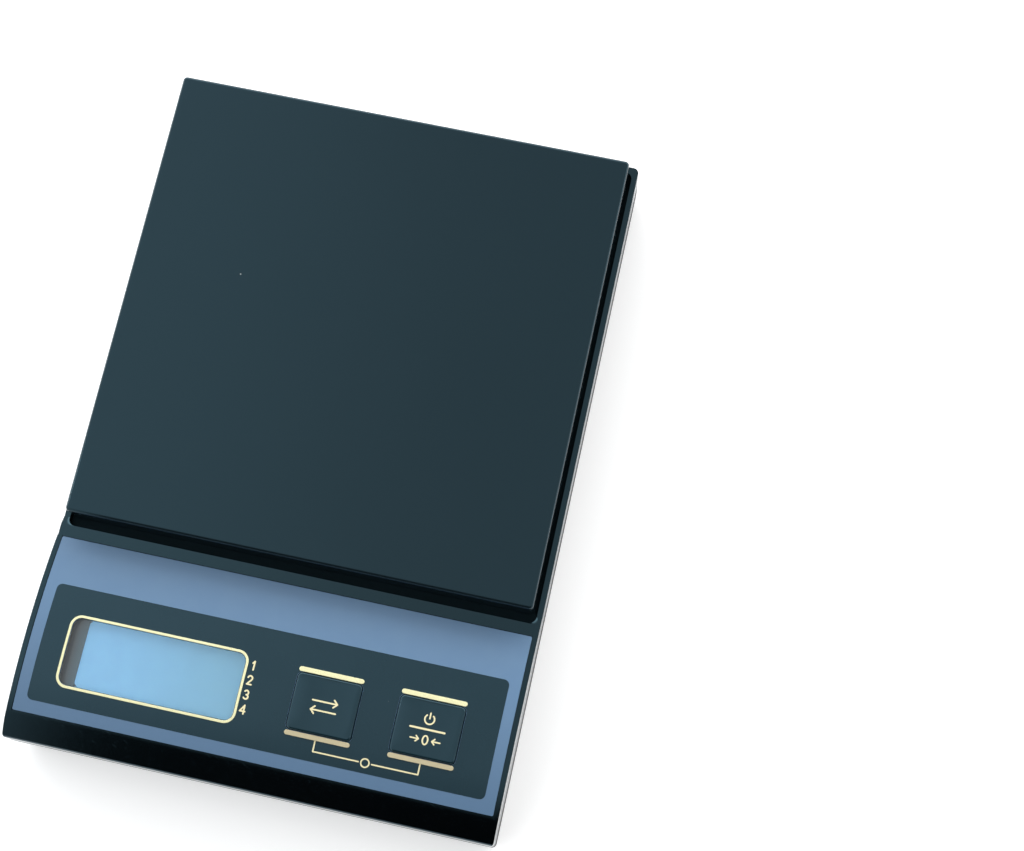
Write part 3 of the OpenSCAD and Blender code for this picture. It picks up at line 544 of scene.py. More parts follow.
BLACK_TINT: Colour = (0.42, 0.8, 1.0)
GOLD = Finish(
    "overlay_film", (0.90, 0.87, 0.52), 0.28, second=(0.78, 0.72, 0.42), mottle=0.35, mottle_size=2.0,
    grain=0.12, depth=0.002, metallic=0.25,
)
# A darker, duller copy of the gold print for the front bars: painted shade on the same gold
SHADED_GOLD = replace(GOLD, colour=(0.60, 0.52, 0.33), roughness=0.34, second=(0.50, 0.43, 0.27))
LEGEND_GOLD = Finish(
    "overlay_film", (0.88, 0.79, 0.48), 0.35, second=(0.78, 0.68, 0.40), mottle=0.3, mottle_size=2.0,
    grain=0.12, depth=0.002, metallic=0.1,
)
FIELD = Finish(
    "overlay_film", (0.004, 0.016, 0.022), 0.2, second=(0.006, 0.019, 0.026), mottle=0.5, grain=0.1,
    depth=0.0008, ior=1.6, tint=(0.5, 0.8, 1.0), dust=0.5,
)
FINISHES: dict[str, Look] = {finish.slot: finish for finish in (
    Finish(
        "tray_gloss", (0.0066, 0.0125, 0.0165), 0.09, second=(0.0076, 0.014, 0.0185), mottle=0.4,
        mottle_size=30.0, grain=2.2, depth=0.0012, ior=1.5, tint=BLACK_TINT, scratches=0.5, dust=0.8,
    ),
    WellCase(
        "case_gloss", (0.0006, 0.0009, 0.0012), 0.12, second=(0.0012, 0.0016, 0.002), mottle=0.4,
        mottle_size=20.0, grain=1.4, depth=0.0012, ior=1.63, tint=BLACK_TINT, scratches=0.5, dust=0.6,
    ),
    Finish("case_satin", (0.006, 0.009, 0.011), 0.5, grain=0.16, depth=0.012, ior=1.34, dust=0.3),
    # overlay_film: its darkening towards the front is painted shade
    ShadedPanelFilm(
        "overlay_film", (0.114, 0.214, 0.354), 0.36, second=(0.124, 0.226, 0.362), mottle=0.5,
        mottle_size=4.0, grain=0.12, depth=0.002, dust=0.3,
    ),
    ClearLens(),
    DisplayFilm(),
    Finish("black_foam", (0.012, 0.012, 0.012), 0.95, grain=0.3, pores=0.08),
    # bezel_grey: its dark-to-light step along X is painted shade of the bezel's sloped rail
    TwoToneAndPaintedShade(
        "bezel_grey", (0.02, 0.036, 0.046), 0.5, second=(0.07, 0.15, 0.19), grain=0.12, depth=0.006,
        start_x=-43.2, end_x=-40.3,
    ),
    Finish("strip_rubber", (0.25, 0.12, 0.14), 0.7, grain=0.1),
    Finish(
        "board_green", (0.012, 0.10, 0.05), 0.35, second=(0.02, 0.16, 0.08), mottle=0.8, mottle_size=1.6,
        grain=0.3, depth=0.01, coat=0.3,
    ),
    Finish(
        "screw_zinc", (0.62, 0.60, 0.55), 0.32, second=(0.50, 0.49, 0.40), mottle=0.6, mottle_size=1.2,
        grain=0.15, metallic=1.0,
    ),
    Finish("screw_black", (0.05, 0.05, 0.055), 0.4, grain=0.15, metallic=0.8),
    Finish("chip_black", (0.02, 0.02, 0.021), 0.55, grain=0.1, depth=0.006),
    Finish("can_steel", (0.6, 0.6, 0.58), 0.3, grain=0.1, stretch=8.0, metallic=1.0),
    Finish("can_aluminium", (0.1, 0.12, 0.3), 0.4, grain=0.2, coat=0.4),
    Finish(
        "key_gloss", (0.004, 0.017, 0.023), 0.18, second=(0.007, 0.021, 0.028), mottle=0.4,
        mottle_size=6.0, grain=0.8, depth=0.001, ior=1.6, tint=(0.5, 0.8, 1.0), scratches=0.12, dust=0.5,
    ),
    Finish("dome_silicone", (0.45, 0.45, 0.42), 0.5, grain=0.2, depth=0.01),
    Finish("socket_ivory", (0.75, 0.70, 0.58), 0.45, grain=0.2),
    Finish("lead_grey", (0.25, 0.26, 0.27), 0.5, grain=0.4),
    Finish("lead_red", (0.45, 0.03, 0.025), 0.45, grain=0.4),
    Finish(
        "beam_aluminium", (0.72, 0.73, 0.74), 0.28, second=(0.6, 0.61, 0.62), grain=0.12, depth=0.004,
        stretch=14.0, metallic=1.0,
    ),
    Finish("gauge_foil", (0.75, 0.45, 0.16), 0.4, grain=0.2),
    Finish("coating_silicone", (0.70, 0.70, 0.66), 0.3, grain=0.8, depth=0.02),
    Finish("spacer_aluminium", (0.70, 0.71, 0.72), 0.3, grain=0.12, stretch=10.0, metallic=1.0),
    Finish("carrier_plastic", (0.02, 0.022, 0.024), 0.5, grain=0.25, depth=0.012),
    Finish("pad_rubber", (0.02, 0.02, 0.02), 0.8, grain=0.25, depth=0.01),
    Finish("stop_brass", (0.75, 0.55, 0.24), 0.3, grain=0.15, metallic=1.0),
    TwoToneAndPaintedShade(
        "cell_jacket", (0.03, 0.035, 0.04), 0.3, second=(0.55, 0.42, 0.20), grain=0.5, coat=0.5,
        start_x=9.0, end_x=9.1,
    ),
    Finish("contact_nickel", (0.68, 0.65, 0.58), 0.25, grain=0.15, metallic=1.0),
    Finish(
        "foot_rubber", (0.018, 0.018, 0.019), 0.78, second=(0.05, 0.05, 0.05), mottle=0.5,
        mottle_size=2.5, grain=0.22, depth=0.02, dust=0.6,
    ),
    Finish(
        "label_foil", (0.55, 0.56, 0.57), 0.38, second=(0.48, 0.49, 0.5), grain=0.09, depth=0.002,
        stretch=25.0, metallic=0.85,
    ),
)}
made_finishes: dict[str, bpy.types.Material] = {}


def dress(piece: bpy.types.Object, finish: Look, name: str = "") -> None:
    """Gives a piece one finish.

    Args:
        piece: The piece or CAD node.
        finish: The finish.
        name: The material's name, or nothing for its slot's; each name's material is made once.
    """
    name = name or finish.slot
    if name not in made_finishes:
        made_finishes[name] = finish.material(name)
    piece.data.materials.clear()
    piece.data.materials.append(made_finishes[name])


# Outlines


def round_rect(x0: float, x1: float, y0: float, y1: float, r: float, arc: int = 8, side: int = 1) -> Loop:
    """A rounded rectangle, anticlockwise, with the same count of points whatever its sizes.

    Args:
        x0: Left side.
        x1: Right side.
        y0: Front side.
        y1: Rear side.
        r: Corner radius.
        arc: Steps in each corner.
        side: Steps along each straight side.

    Returns:
        The outline's points.
    """
    corners = ((x1 - r, y0 + r, -90), (x1 - r, y1 - r, 0), (x0 + r, y1 - r, 90), (x0 + r, y0 + r, 180))
    loop: Loop = []
    for cx, cy, start in corners:
        for i in range(arc + 1):
            a = math.radians(start + 90 * i / arc)
            point = (cx + r * math.cos(a), cy + r * math.sin(a))
            if i == 0 and loop:
                loop += between(loop[-1], point, side)
            loop.append(point)
    return loop + between(loop[-1], loop[0], side)


def between(a: Point, b: Point, steps: int) -> Loop:
    """The points that cut a line into steps, without its ends."""
    return [(a[0] + (b[0] - a[0]) * i / steps, a[1] + (b[1] - a[1]) * i / steps) for i in range(1, steps)]


def spaced(loop: Loop, gap: float) -> Loop:
    """An outline with points no further than gap apart."""
    out: Loop = []
    for a, b in zip(loop, loop[1:] + loop[:1]):
        out.append(a)
        out += between(a, b, max(1, math.ceil(math.dist(a, b) / gap)))
    return out


def bow(cx: float, cy: float, rx: float, ry: float, start: float, end: float, steps: int = 14) -> Loop:
    """Points along an elliptic arc from start to end degrees."""
    turns = [math.radians(start + (end - start) * i / steps) for i in range(steps + 1)]
    return [(cx + rx * math.cos(a), cy + ry * math.sin(a)) for a in turns]


def ribbon(path: Sequence[Point], width: float) -> Loop:
    """Outline of a pen stroke with round ends.

    Args:
        path: The stroke's middle line.
        width: Its width.

    Returns:
        The outline's points.
    """
    half, last = width / 2, len(path) - 1
    left: Loop = []
    right: Loop = []
    for i, (x, y) in enumerate(path):
        a, b = path[max(i - 1, 0)], path[min(i + 1, last)]
        size = math.dist(a, b)
        nx, ny = -(b[1] - a[1]) / size * half, (b[0] - a[0]) / size * half
        left.append((x + nx, y + ny))
        right.append((x - nx, y - ny))
    caps = []
    for end, side in ((path[last], right[last]), (path[0], left[0])):
        start = math.degrees(math.atan2(side[1] - end[1], side[0] - end[0]))
        caps.append(bow(end[0], end[1], half, half, start, start + 180, 6)[1:-1])
    return right + caps[0] + left[::-1] + caps[1]


@dataclass
class Region:
    """A flat area: outlines that join, less its holes."""

    outlines: list[Loop]
    holes: list[Loop] = field(default_factory=list)

    def triangles(self, gap: float) -> tuple[list[Point], list[tuple[int, ...]]]:
        """Cuts the area into triangles.

        Args:
            gap: Most distance between points along an outline, and pitch of the points inside.

        Returns:
            The points and the triangles.
        """
        loops = [spaced(loop, gap) for loop in self.outlines + self.holes]
        points: Loop = [p for loop in loops for p in loop]
        faces, at = [], 0
        for loop in loops:
            faces.append(list(range(at, at + len(loop))))
            at += len(loop)
        xs, ys = [p[0] for p in points], [p[1] for p in points]
        for i in range(1, math.ceil((max(xs) - min(xs)) / gap)):
            for j in range(1, math.ceil((max(ys) - min(ys)) / gap)):
                points.append((min(xs) + gap * i + 0.013, min(ys) + gap * j + 0.017))
        solid = len(self.outlines)
        flat = [Vector(p) for p in points]
        verts, _, tris, _, _, owners = delaunay_2d_cdt(flat, [], faces, 0, 1e-5, True)
        kept = [
            tuple(t) for t, own in zip(tris, owners)
            if any(o < solid for o in own) and not any(o >= solid for o in own)
        ]
        used = sorted({v for t in kept for v in t})
        index = {v: i for i, v in enumerate(used)}
        return [tuple(verts[v]) for v in used], [tuple(index[v] for v in t) for t in kept]


# Meshes


@dataclass
class Form:
    """Points and faces of one piece before it becomes an object."""

    points: list[Vector] = field(default_factory=list)
    faces: list[tuple[int, ...]] = field(default_factory=list)

    def add(self, points: Iterable[Vector], faces: Iterable[Sequence[int]]) -> "Form":
        """Adds points, and faces that number them from 0."""
        at = len(self.points)
        self.points += [Vector(p) for p in points]
        self.faces += [tuple(at + i for i in f) for f in faces]
        return self

    def wall(self, low: Sequence[Vector], high: Sequence[Vector]) -> "Form":
        """Joins two rings of as many points."""
        n = len(low)
        quads = [(i, (i + 1) % n, n + (i + 1) % n, n + i) for i in range(n)]
        return self.add([*low, *high], quads)

    def loft(self, rings: Sequence[Sequence[Vector]]) -> "Form":
        """Joins rings in order and closes the first and the last."""
        for low, high in zip(rings, rings[1:]):
            self.wall(low, high)
        for ring in (rings[0], rings[-1]):
            self.add(ring, [tuple(range(len(ring)))])
        return self

    def film(self, region: Region, surface: Surface, low: float, high: float, gap: float) -> "Form":
        """A thin closed solid of a region laid on a surface.

        Args:
            region: The area.
            surface: Gives the point at (x, y) that stands some height over the surface.
            low: Height of its underside.
            high: Height of its top.
            gap: Pitch of its points.

        Returns:
            This form.
        """
        flat, tris = region.triangles(gap)
        n = len(flat)
        edges = {(a, b) for t in tris for a, b in zip(t, t[1:] + t[:1])}
        rim = [(a, b) for a, b in edges if (b, a) not in edges]
        points = [surface(x, y, high) for x, y in flat] + [surface(x, y, low) for x, y in flat]
        under = [tuple(n + i for i in reversed(t)) for t in tris]
        return self.add(points, tris + under + [(b, a, n + a, n + b) for a, b in rim])

    def piece(
        self, name: str, body: Body | None, bevel: float = 0.0, replaces: Sequence[str] = ()
    ) -> bpy.types.Object:
        """Makes the object.

        Args:
            name: The piece's name.
            body: The CAD body that it rides on, or None for a piece that rides on none.
            bevel: Width in mm of the easing along its sharp edges.
            replaces: CAD nodes that it stands for.

        Returns:
            The object.
        """
        mesh = bpy.data.meshes.new(name)
        mesh.from_pydata([p * MM for p in self.points], [], self.faces)
        work = bmesh.new()
        work.from_mesh(mesh)
        bmesh.ops.remove_doubles(work, verts=work.verts, dist=2e-4 * MM)
        bmesh.ops.recalc_face_normals(work, faces=work.faces)
        work.to_mesh(mesh)
        work.free()
        mesh.shade_smooth()
        mesh.set_sharp_from_angle(angle=math.radians(32))
        made = bpy.data.objects.new(name, mesh)
        bpy.context.scene.collection.objects.link(made)
        if bevel:
            ease(made, bevel)
        if body:
            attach(made, body.value)
        if replaces:
            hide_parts(*replaces)
        log.info("%s: %d faces on %s", name, len(mesh.polygons), body.value if body else "two bodies")
        return made


def ease(piece: bpy.types.Object, width: float, segments: int = 2) -> None:
    """Eases the sharp edges of a piece.

    Args:
        piece: The piece.
        width: Width of the bevel in mm.
        segments: Its steps.
    """
    bevel = piece.modifiers.new("eased_edges", "BEVEL")
    bevel.width, bevel.segments = width * MM, segments
    bevel.limit_method, bevel.angle_limit = "ANGLE", math.radians(35)


def refine(node: bpy.types.Object, width: float, segments: int = 3) -> None:
    """Turns a CAD node's triangles into clean faces with eased edges.

    Args:
        node: The CAD node.
        width: Width of the easing in mm, or 0 for none.
        segments: Its steps.
    """
    weld = node.modifiers.new("joined_points", "WELD")
    weld.merge_threshold = 1e-6
    if width:
        flat = node.modifiers.new("whole_faces", "DECIMATE")
        flat.decimate_type, flat.angle_limit = "DISSOLVE", math.radians(0.5)
        ease(node, width, segments)
    for face in node.data.polygons:
        face.use_smooth = True
    if width:
        level = node.modifiers.new("level_faces", "WEIGHTED_NORMAL")
        level.mode, level.weight, level.keep_sharp = "FACE_AREA", 50, True


def copied(name: str) -> Form:
    """A form with a CAD node's points and faces."""
    node = frame["nodes"][name]
    points = [node.matrix_world @ v.co / MM for v in node.data.vertices]
    return Form().add(points, [tuple(face.vertices) for face in node.data.polygons])


def ring(loop: Loop, z: float) -> list[Vector]:
    """An outline at one height."""
    return [Vector((x, y, z)) for x, y in loop]


# The crowned panel


@dataclass(frozen=True)
class Crown:
    """The panel's cylindrical top.

    Attributes:
        radius: Its radius.
        crest_y: Where it is highest.
        crest_z: How high that is.
    """

    radius: float
    crest_y: float
    crest_z: float

    def at(self, x: float, y: float, lift: float = 0.0) -> Vector:
        """The point over (x, y) that stands lift above the crown.

        Args:
            x: Place across.
            y: Place along.
            lift: Height over the crown, along its normal.

        Returns:
            The point.
        """
        turn = math.asin((y - self.crest_y) / self.radius)
        reach = self.radius + lift
        centre = self.crest_z - self.radius
        return Vector((x, self.crest_y + reach * math.sin(turn), centre + reach * math.cos(turn)))


@dataclass
class CrownedBlock:
    """A block with a crowned top and a flange: the window lens and the key caps.

    Attributes:
        crown: The panel's crown.
        x: Middle across.
        y: Middle along.
        w: Width.
        l: Length.
        r: Corner radius.
        lift: Height of its top over the crown.
        edge: Radius along its top edges.
        foot_z: Underside of its flange.
        flange_z: Top of its flange.
        flange: Width of its flange.
        dish: Depth of the shallow hollow in its top.
        arc: Steps round each corner.
        side: Steps along each side.
    """

    crown: Crown
    x: float
    y: float
    w: float
    l: float
    r: float
    lift: float
    edge: float
    foot_z: float
    flange_z: float
    flange: float
    dish: float = 0.0
    arc: int = 8
    side: int = 14

    def outline(self, inset: float) -> Loop:
        """Its outline, drawn in by inset."""
        w, l = self.w / 2 - inset, self.l / 2 - inset
        r = max(self.r - inset, 0.05)
        return round_rect(self.x - w, self.x + w, self.y - l, self.y + l, r, self.arc, self.side)

    def top(self, x: float, y: float, lift: float = 0.0) -> Vector:
        """A point of its top, dished a little between its left and right edges."""
        u = min(1.0, abs(x - self.x) / (self.w / 2 - self.edge))
        return self.crown.at(x, y, self.lift + lift - self.dish * (1 - u * u))

    def form(self) -> Form:
        """Builds the block.

        Returns:
            Its form.
        """
        made = Form()
        rings = [ring(self.outline(-self.flange), z) for z in (self.foot_z, self.flange_z)]
        rings.append(ring(self.outline(0), self.flange_z))
        for i in range(7):
            a = math.radians(15 * i)
            inset, drop = self.edge * (1 - math.cos(a)), self.edge * (1 - math.sin(a))
            rings.append([self.crown.at(x, y, self.lift - drop) for x, y in self.outline(inset)])
        for low, high in zip(rings, rings[1:]):
            made.wall(low, high)
        made.add(rings[0], [tuple(range(len(rings[0])))])
        loop = self.outline(self.edge)
        flat, tris = Region([loop]).triangles(3.0)
        return made.add([self.top(x, y) for x, y in flat], tris)


# Numerals and signs


Glyph = tuple[float, tuple[Loop, ...]]
GLYPHS: dict[str, Glyph] = {
    "0": (0.56, (bow(0.28, 0.5, 0.28, 0.5, 0, 200), bow(0.28, 0.5, 0.28, 0.5, 180, 380))),
    "1": (0.34, ([(0.26, 0), (0.26, 1)], [(0.26, 1), (0.04, 0.76)])),
    "2": (0.54, ([*bow(0.27, 0.73, 0.26, 0.27, 170, -35, 12), (0.02, 0.0)], [(0.02, 0), (0.54, 0)])),
    "3": (0.52, (bow(0.25, 0.75, 0.24, 0.25, 150, -85), bow(0.25, 0.26, 0.27, 0.26, 85, -150))),
    "4": (0.58, ([(0.44, 0), (0.44, 1)], [(0.44, 1), (0, 0.3)], [(0, 0.3), (0.58, 0.3)])),
}


@dataclass(frozen=True)
class Numeral:
    """One plain numeral.

    Attributes:
        digit: Which numeral.
        x: Its middle across.
        y: Its base line, behind the panel's front face.
        height: Its height.
        pen: Width of the pen.
        width: Its width.
    """

    digit: str
    x: float
    y: float
    height: float
    pen: float
    width: float

    def outlines(self) -> list[Loop]:
        """Outlines of its strokes.

        Returns:
            One outline for each stroke.
        """
        advance, paths = GLYPHS[self.digit]
        scale_x, scale_y = (self.width - self.pen) / advance, self.height - self.pen
        left, base = self.x - self.width / 2 + self.pen / 2, FRONT + self.y + self.pen / 2
        placed = ([(left + x * scale_x, base + y * scale_y) for x, y in path] for path in paths)
        return [ribbon(path, self.pen) for path in placed]


def arrow(x: float, y: float, reach: float, head: float, pen: float) -> list[Loop]:
    """A level arrow made of strokes.

    Args:
        x: Its tail.
        y: Its place along the panel.
        reach: Distance from tail to tip; a negative one points left.
        head: Size of its head.
        pen: Width of the pen.

    Returns:
        One outline for each stroke.
    """
    tip, back = (x + reach, y), x + reach - math.copysign(head, reach)
    strokes = ([(x, y), tip], [tip, (back, y + head)], [tip, (back, y - head)])
    return [ribbon(stroke, pen) for stroke in strokes]


def swap_mark(x: float, y: float) -> list[Loop]:
    """Two opposed arrows, the plain sign for changing over."""
    return arrow(x - 2.6, y + 0.95, 5.2, 0.75, 0.34) + arrow(x + 2.6, y - 0.95, -5.2, 0.75, 0.34)


def power_mark(x: float, y: float) -> list[Loop]:
    """A ring broken by a bar, the plain sign for power."""
    return [ribbon(bow(x, y, 1.0, 1.0, 132, 408, 24), 0.32), ribbon([(x, y + 0.15), (x, y + 1.25)], 0.32)]


def zero_mark(x: float, y: float) -> list[Loop]:
    """A nought between two arrows, the plain sign for setting to zero."""
    nought = Numeral("0", x, y - FRONT - 1.05, 2.1, 0.33, 1.4).outlines()
    return nought + arrow(x - 3.1, y, 1.7, 0.55, 0.3) + arrow(x + 3.1, y, -1.7, 0.55, 0.3)


# Sub-assemblies


@dataclass
class Studio:
    """Camera, floor and light.

    Attributes:
        place: Where the camera stands, in metres.
        right: The camera's right in the row frame.
        up: Its up.
        back: The direction from the object to it.
        lens: Focal length in mm on a 36 mm sensor.
        lamps: Places of the small lamps that light the tray's edges and corners, in metres.
        card_tilt: The dark card's edges as tilts in degrees: where it starts, is full, ends, is full.
        card_x: The card's left edge and its right edge, as the x of a direction.
        rear_tilt: Edges of the bright strip behind, as card_tilt gives them.
        left_x: Where the brighter left side starts and is full.
    """

    place: Colour = (0.069114, FRONT * MM + 0.002077, 0.400522)
    right: Colour = (0.97630231, 0.21364738, -0.03447599)
    up: Colour = (-0.20058891, 0.95316035, 0.2263834)
    back: Colour = (0.08122736, -0.21410313, 0.97342795)
    lens: float = 65.215
    lamps: tuple[Colour, ...] = ((-1.25, 0.16, 0.89), (1.05, 0.95, 0.8), (1.2, -0.2, 0.9))
    card_tilt: tuple[float, ...] = (6, 22, 91, 83)
    card_x: tuple[float, ...] = (-0.35, -0.27, 0.75, 0.6)
    rear_tilt: tuple[float, ...] = (-84, -74, -44, -56)
    left_x: Point = (-0.08, -0.32)

    @staticmethod
    def band(value: Sock, edges: Sequence[float]) -> Sock:
        """1 inside a band with soft edges: it rises over the first two values and falls over the rest."""
        return value.step(*edges[:2]) * value.step(*edges[2:])

    def camera(self) -> None:
        """Sets up the camera at the photograph's viewpoint."""
        data = bpy.data.cameras.new("camera")
        data.lens, data.sensor_width = self.lens, 36.0
        data.clip_start, data.clip_end = 0.01, 50.0
        cam = bpy.data.objects.new("camera", data)
        bpy.context.scene.collection.objects.link(cam)
        turn = Matrix((self.right, self.up, self.back)).transposed().to_4x4()
        cam.matrix_world = Matrix.Translation(self.place) @ turn
        bpy.context.scene.camera = cam

    def floor(self) -> None:
        """Lays a plain pale floor."""
        mesh = bpy.data.meshes.new("floor")
        work = bmesh.new()
        bmesh.ops.create_grid(work, x_segments=8, y_segments=8, size=40.0)
        work.to_mesh(mesh)
        work.free()
        plane = bpy.data.objects.new("floor", mesh)
        plane.location.z = -0.02 * MM
        bpy.context.scene.collection.objects.link(plane)
        mesh.materials.append(PaleFloor("floor").material("pale_floor"))

    def light(self) -> None:
        """A white tent, brighter at its left and behind, with a dark card in front, and small lamps."""
        world = bpy.data.worlds.new("tent")
        bpy.context.scene.world = world
        world.use_nodes = True
        n = Nodes(world.node_tree)
        way = n.add("ShaderNodeTexCoord", {}, {}, "Generated")
        split = n.node("ShaderNodeSeparateXYZ", {}, {0: way})
        x, y, z = (Sock(n, split.outputs[i]) for i in range(3))
        tilt = n.add("ShaderNodeMath", {"operation": "ARCTAN2"}, {0: 0 - y, 1: z})
        dark = self.band(tilt, [math.radians(a) for a in self.card_tilt])
        dark = dark * x.step(*self.card_x[:2]) * x.step(*self.card_x[2:])
        rear = self.band(tilt, [math.radians(a) for a in self.rear_tilt])
        left = x.step(*self.left_x)
        strength = (0.83 + left * 0.5 + rear * 2.6) * (1 - dark * 0.985)
        tone = n.mix(left, (1.0, 1.0, 1.0), (0.95, 0.98, 1.0))
        shade = n.node("ShaderNodeBackground", {}, {0: tone, 1: strength})
        n.node("ShaderNodeOutputWorld", {}, {0: Sock(n, shade.outputs[0])})
        for place in self.lamps:
            lamp = bpy.data.lights.new("edge_lamp", "AREA")
            lamp.shape, lamp.size, lamp.energy = "DISK", 0.12, 0.5
            holder = bpy.data.objects.new("edge_lamp", lamp)
            bpy.context.scene.collection.objects.link(holder)
            holder.location = place
            holder.rotation_euler = Vector(place).to_track_quat("Z", "Y").to_euler()
        bpy.context.scene.view_settings.view_transform = "Standard"

    def build(self) -> None:
        """Sets up the whole studio."""
        self.camera()
        self.floor()
        self.light()


@dataclass
class WeighingTray:
    """The loose square tray with its skirt.

    Attributes:
        skirt_t: Thickness of the skirt.
        plate_t: Thickness of the plate.
        corner_r: Radius of the upright corners.
        edge_r: Radius along the top edges.
        hem_r: Radius along the skirt's lower edges.
    """

    skirt_t: float = 1.5
    plate_t: float = 2.0
    corner_r: float = 0.9
    edge_r: float = 0.7
    hem_r: float = 0.25

    def ring(self, inset: float, z: float) -> list[Vector]:
        """Its outline drawn in by inset at height z."""
        low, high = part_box("weighing_tray")
        x, y0, y1 = high.x / MM - inset, low.y / MM + inset, high.y / MM - inset
        return ring(round_rect(-x, x, y0, y1, max(self.corner_r - inset, 0.12), 8, 12), z)

    def build(self) -> None:
        """Builds and dresses the tray."""
        low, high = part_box("weighing_tray")
        top, hem = high.z / MM, low.z / MM
        rings = [self.ring(self.skirt_t + 1.0, top - self.plate_t)]
        rings.append(self.ring(self.skirt_t + 0.4, top - self.plate_t))
        rings.append(self.ring(self.skirt_t, top - self.plate_t - 0.4))
        for i in range(0, 13):
            a = math.radians(-180 + 15 * i)
            mid = self.hem_r if i > 6 else self.skirt_t - self.hem_r
            reach = self.hem_r * math.cos(a)
            rings.append(self.ring(mid - reach, hem + self.hem_r + self.hem_r * math.sin(a)))
        for i in range(9):
            a = math.radians(11.25 * i)
            rings.append(self.ring(self.edge_r * (1 - math.cos(a)), top - self.edge_r * (1 - math.sin(a))))
        rings.append(self.ring(self.edge_r + 0.5, top))
        tray = Form().loft(rings).piece("tray", Body.PLATFORM, replaces=["weighing_tray"])
        dress(tray, FINISHES["tray_gloss"])


@dataclass
class CaseShells:
    """The two case halves and the door, kept as CAD nodes with eased edges."""

    edges: dict[str, float] = field(default_factory=lambda: {
        "upper_case": 0.22, "lower_case": 0.22, "battery_door": 0.12,
    })

    def dress(self) -> None:
        """Eases and dresses them."""
        for name, width in self.edges.items():
            node = frame["nodes"][name]
            refine(node, width)
            dress(node, FINISHES["case_gloss" if name == "upper_case" else "case_satin"])
            log.info("%s dressed", name)


@dataclass
class ControlPanel:
    """Overlay film, its dark field and everything printed on it.

    Attributes:
        crown: The panel's crown.
        keys: Middles of the keys across.
        keys_y: Their middle along.
        window: The window's sides: left, right, front and rear.
        window_r: Its corner radius.
        film_t: Thickness of the film.
        frame_w: Width of the line round the window.
        field_box: Sides of the dark field, in the window's order.
        key_hole: Width, length and corner radius of a key's opening.
    """

    crown: Crown
    keys: tuple[float, float]
    keys_y: float
    window: tuple[float, float, float, float]
    window_r: float = 1.9
    film_t: float = 0.5
    frame_w: float = 0.55
    field_box: tuple[float, float, float, float] = (-48.4, 48.4, FRONT + 8.9, FRONT + 33.55)
    key_hole: tuple[float, float, float] = (13.94, 12.04, 1.12)

    def holes(self, grow: float) -> list[Loop]:
        """The window's and the keys' openings, each grown a little."""
        x0, x1, y0, y1 = self.window
        w, l, r = self.key_hole
        out = [round_rect(x0 - grow, x1 + grow, y0 - grow, y1 + grow, self.window_r + grow)]
        for x in self.keys:
            half, deep = w / 2 + grow, l / 2 + grow
            out.append(round_rect(x - half, x + half, self.keys_y - deep, self.keys_y + deep, r + grow))
        return out

    def printed(self, name: str, region: Region, finish: Finish, title: str, high: float = 0.03,
                gap: float = 1.5, bevel: float = 0.0) -> None:
        """A printed or stamped layer on the film.

        Args:
            name: The piece's name.
            region: Its area.
            finish: Its finish.
            title: The material's name.
            high: How far it stands over the film.
            gap: Pitch of its points.
            bevel: Easing of its edges.
        """
        made = Form().film(region, self.crown.at, -0.02, high, gap).piece(name, Body.BASE, bevel)
        dress(made, finish, title)

    def build(self) -> None:
        """Builds the film and all its printing."""
        low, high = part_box("control_overlay")
        sides = (low.x / MM, high.x / MM, low.y / MM, high.y / MM)
        film = Region([round_rect(*sides, 0.3, 4)], self.holes(0.0))
        form = Form().film(film, self.crown.at, -self.film_t, 0.0, 2.4)
        dress(form.piece("panel_film", Body.BASE, 0.07, ["control_overlay"]), FINISHES["overlay_film"])
        area = Region([round_rect(*self.field_box, 1.2)], self.holes(0.06))
        self.printed("panel_field", area, FIELD, "panel_field", 0.012, 2.4)
        x0, x1, y0, y1 = self.window
        w = self.frame_w
        outer = round_rect(x0 - w, x1 + w, y0 - w, y1 + w, self.window_r + w)
        frame_line = Region([outer], self.holes(0.02)[:1])
        self.printed("window_frame", frame_line, GOLD, "gold_print", 0.09, 1.2, 0.05)
        # The front bars take the darker gold copy, which is painted shade
        rows = (("rear_bars", 26.85, GOLD, "gold_print"), ("front_bars", 13.7, SHADED_GOLD, "gold_shaded"))
        for name, back, finish, title in rows:
            bars = [ribbon([(x - 6.4, FRONT + back), (x + 6.4, FRONT + back)], 1.0) for x in self.keys]
            self.printed(name, Region(bars), finish, title, 0.26, 1.2, 0.2)
        line, rear = FRONT + 11.0, FRONT + 13.1
        sides = (((12.15, rear), (12.15, line), (21.7, line)), ((24.5, line), (34.15, line), (34.15, rear)))
        link = [ribbon([a, b], 0.3) for side in sides for a, b in zip(side, side[1:])]
        nought = [ribbon(bow(23.1, line, 0.85, 0.85, *turn), 0.3) for turn in ((0, 200), (180, 380))]
        self.printed("key_link", Region(link + nought), LEGEND_GOLD, "gold_legend", 0.04)
        places = (("1", 24.3, 0.85), ("2", 21.25, 1.3), ("3", 18.2, 1.25), ("4", 15.15, 1.4))
        numerals: list[Loop] = []
        for digit, y, width in places:
            numerals += Numeral(digit, -3.9, y, 2.1, 0.34, width).outlines()
        self.printed("mode_numerals", Region(numerals), LEGEND_GOLD, "gold_legend", 0.04)


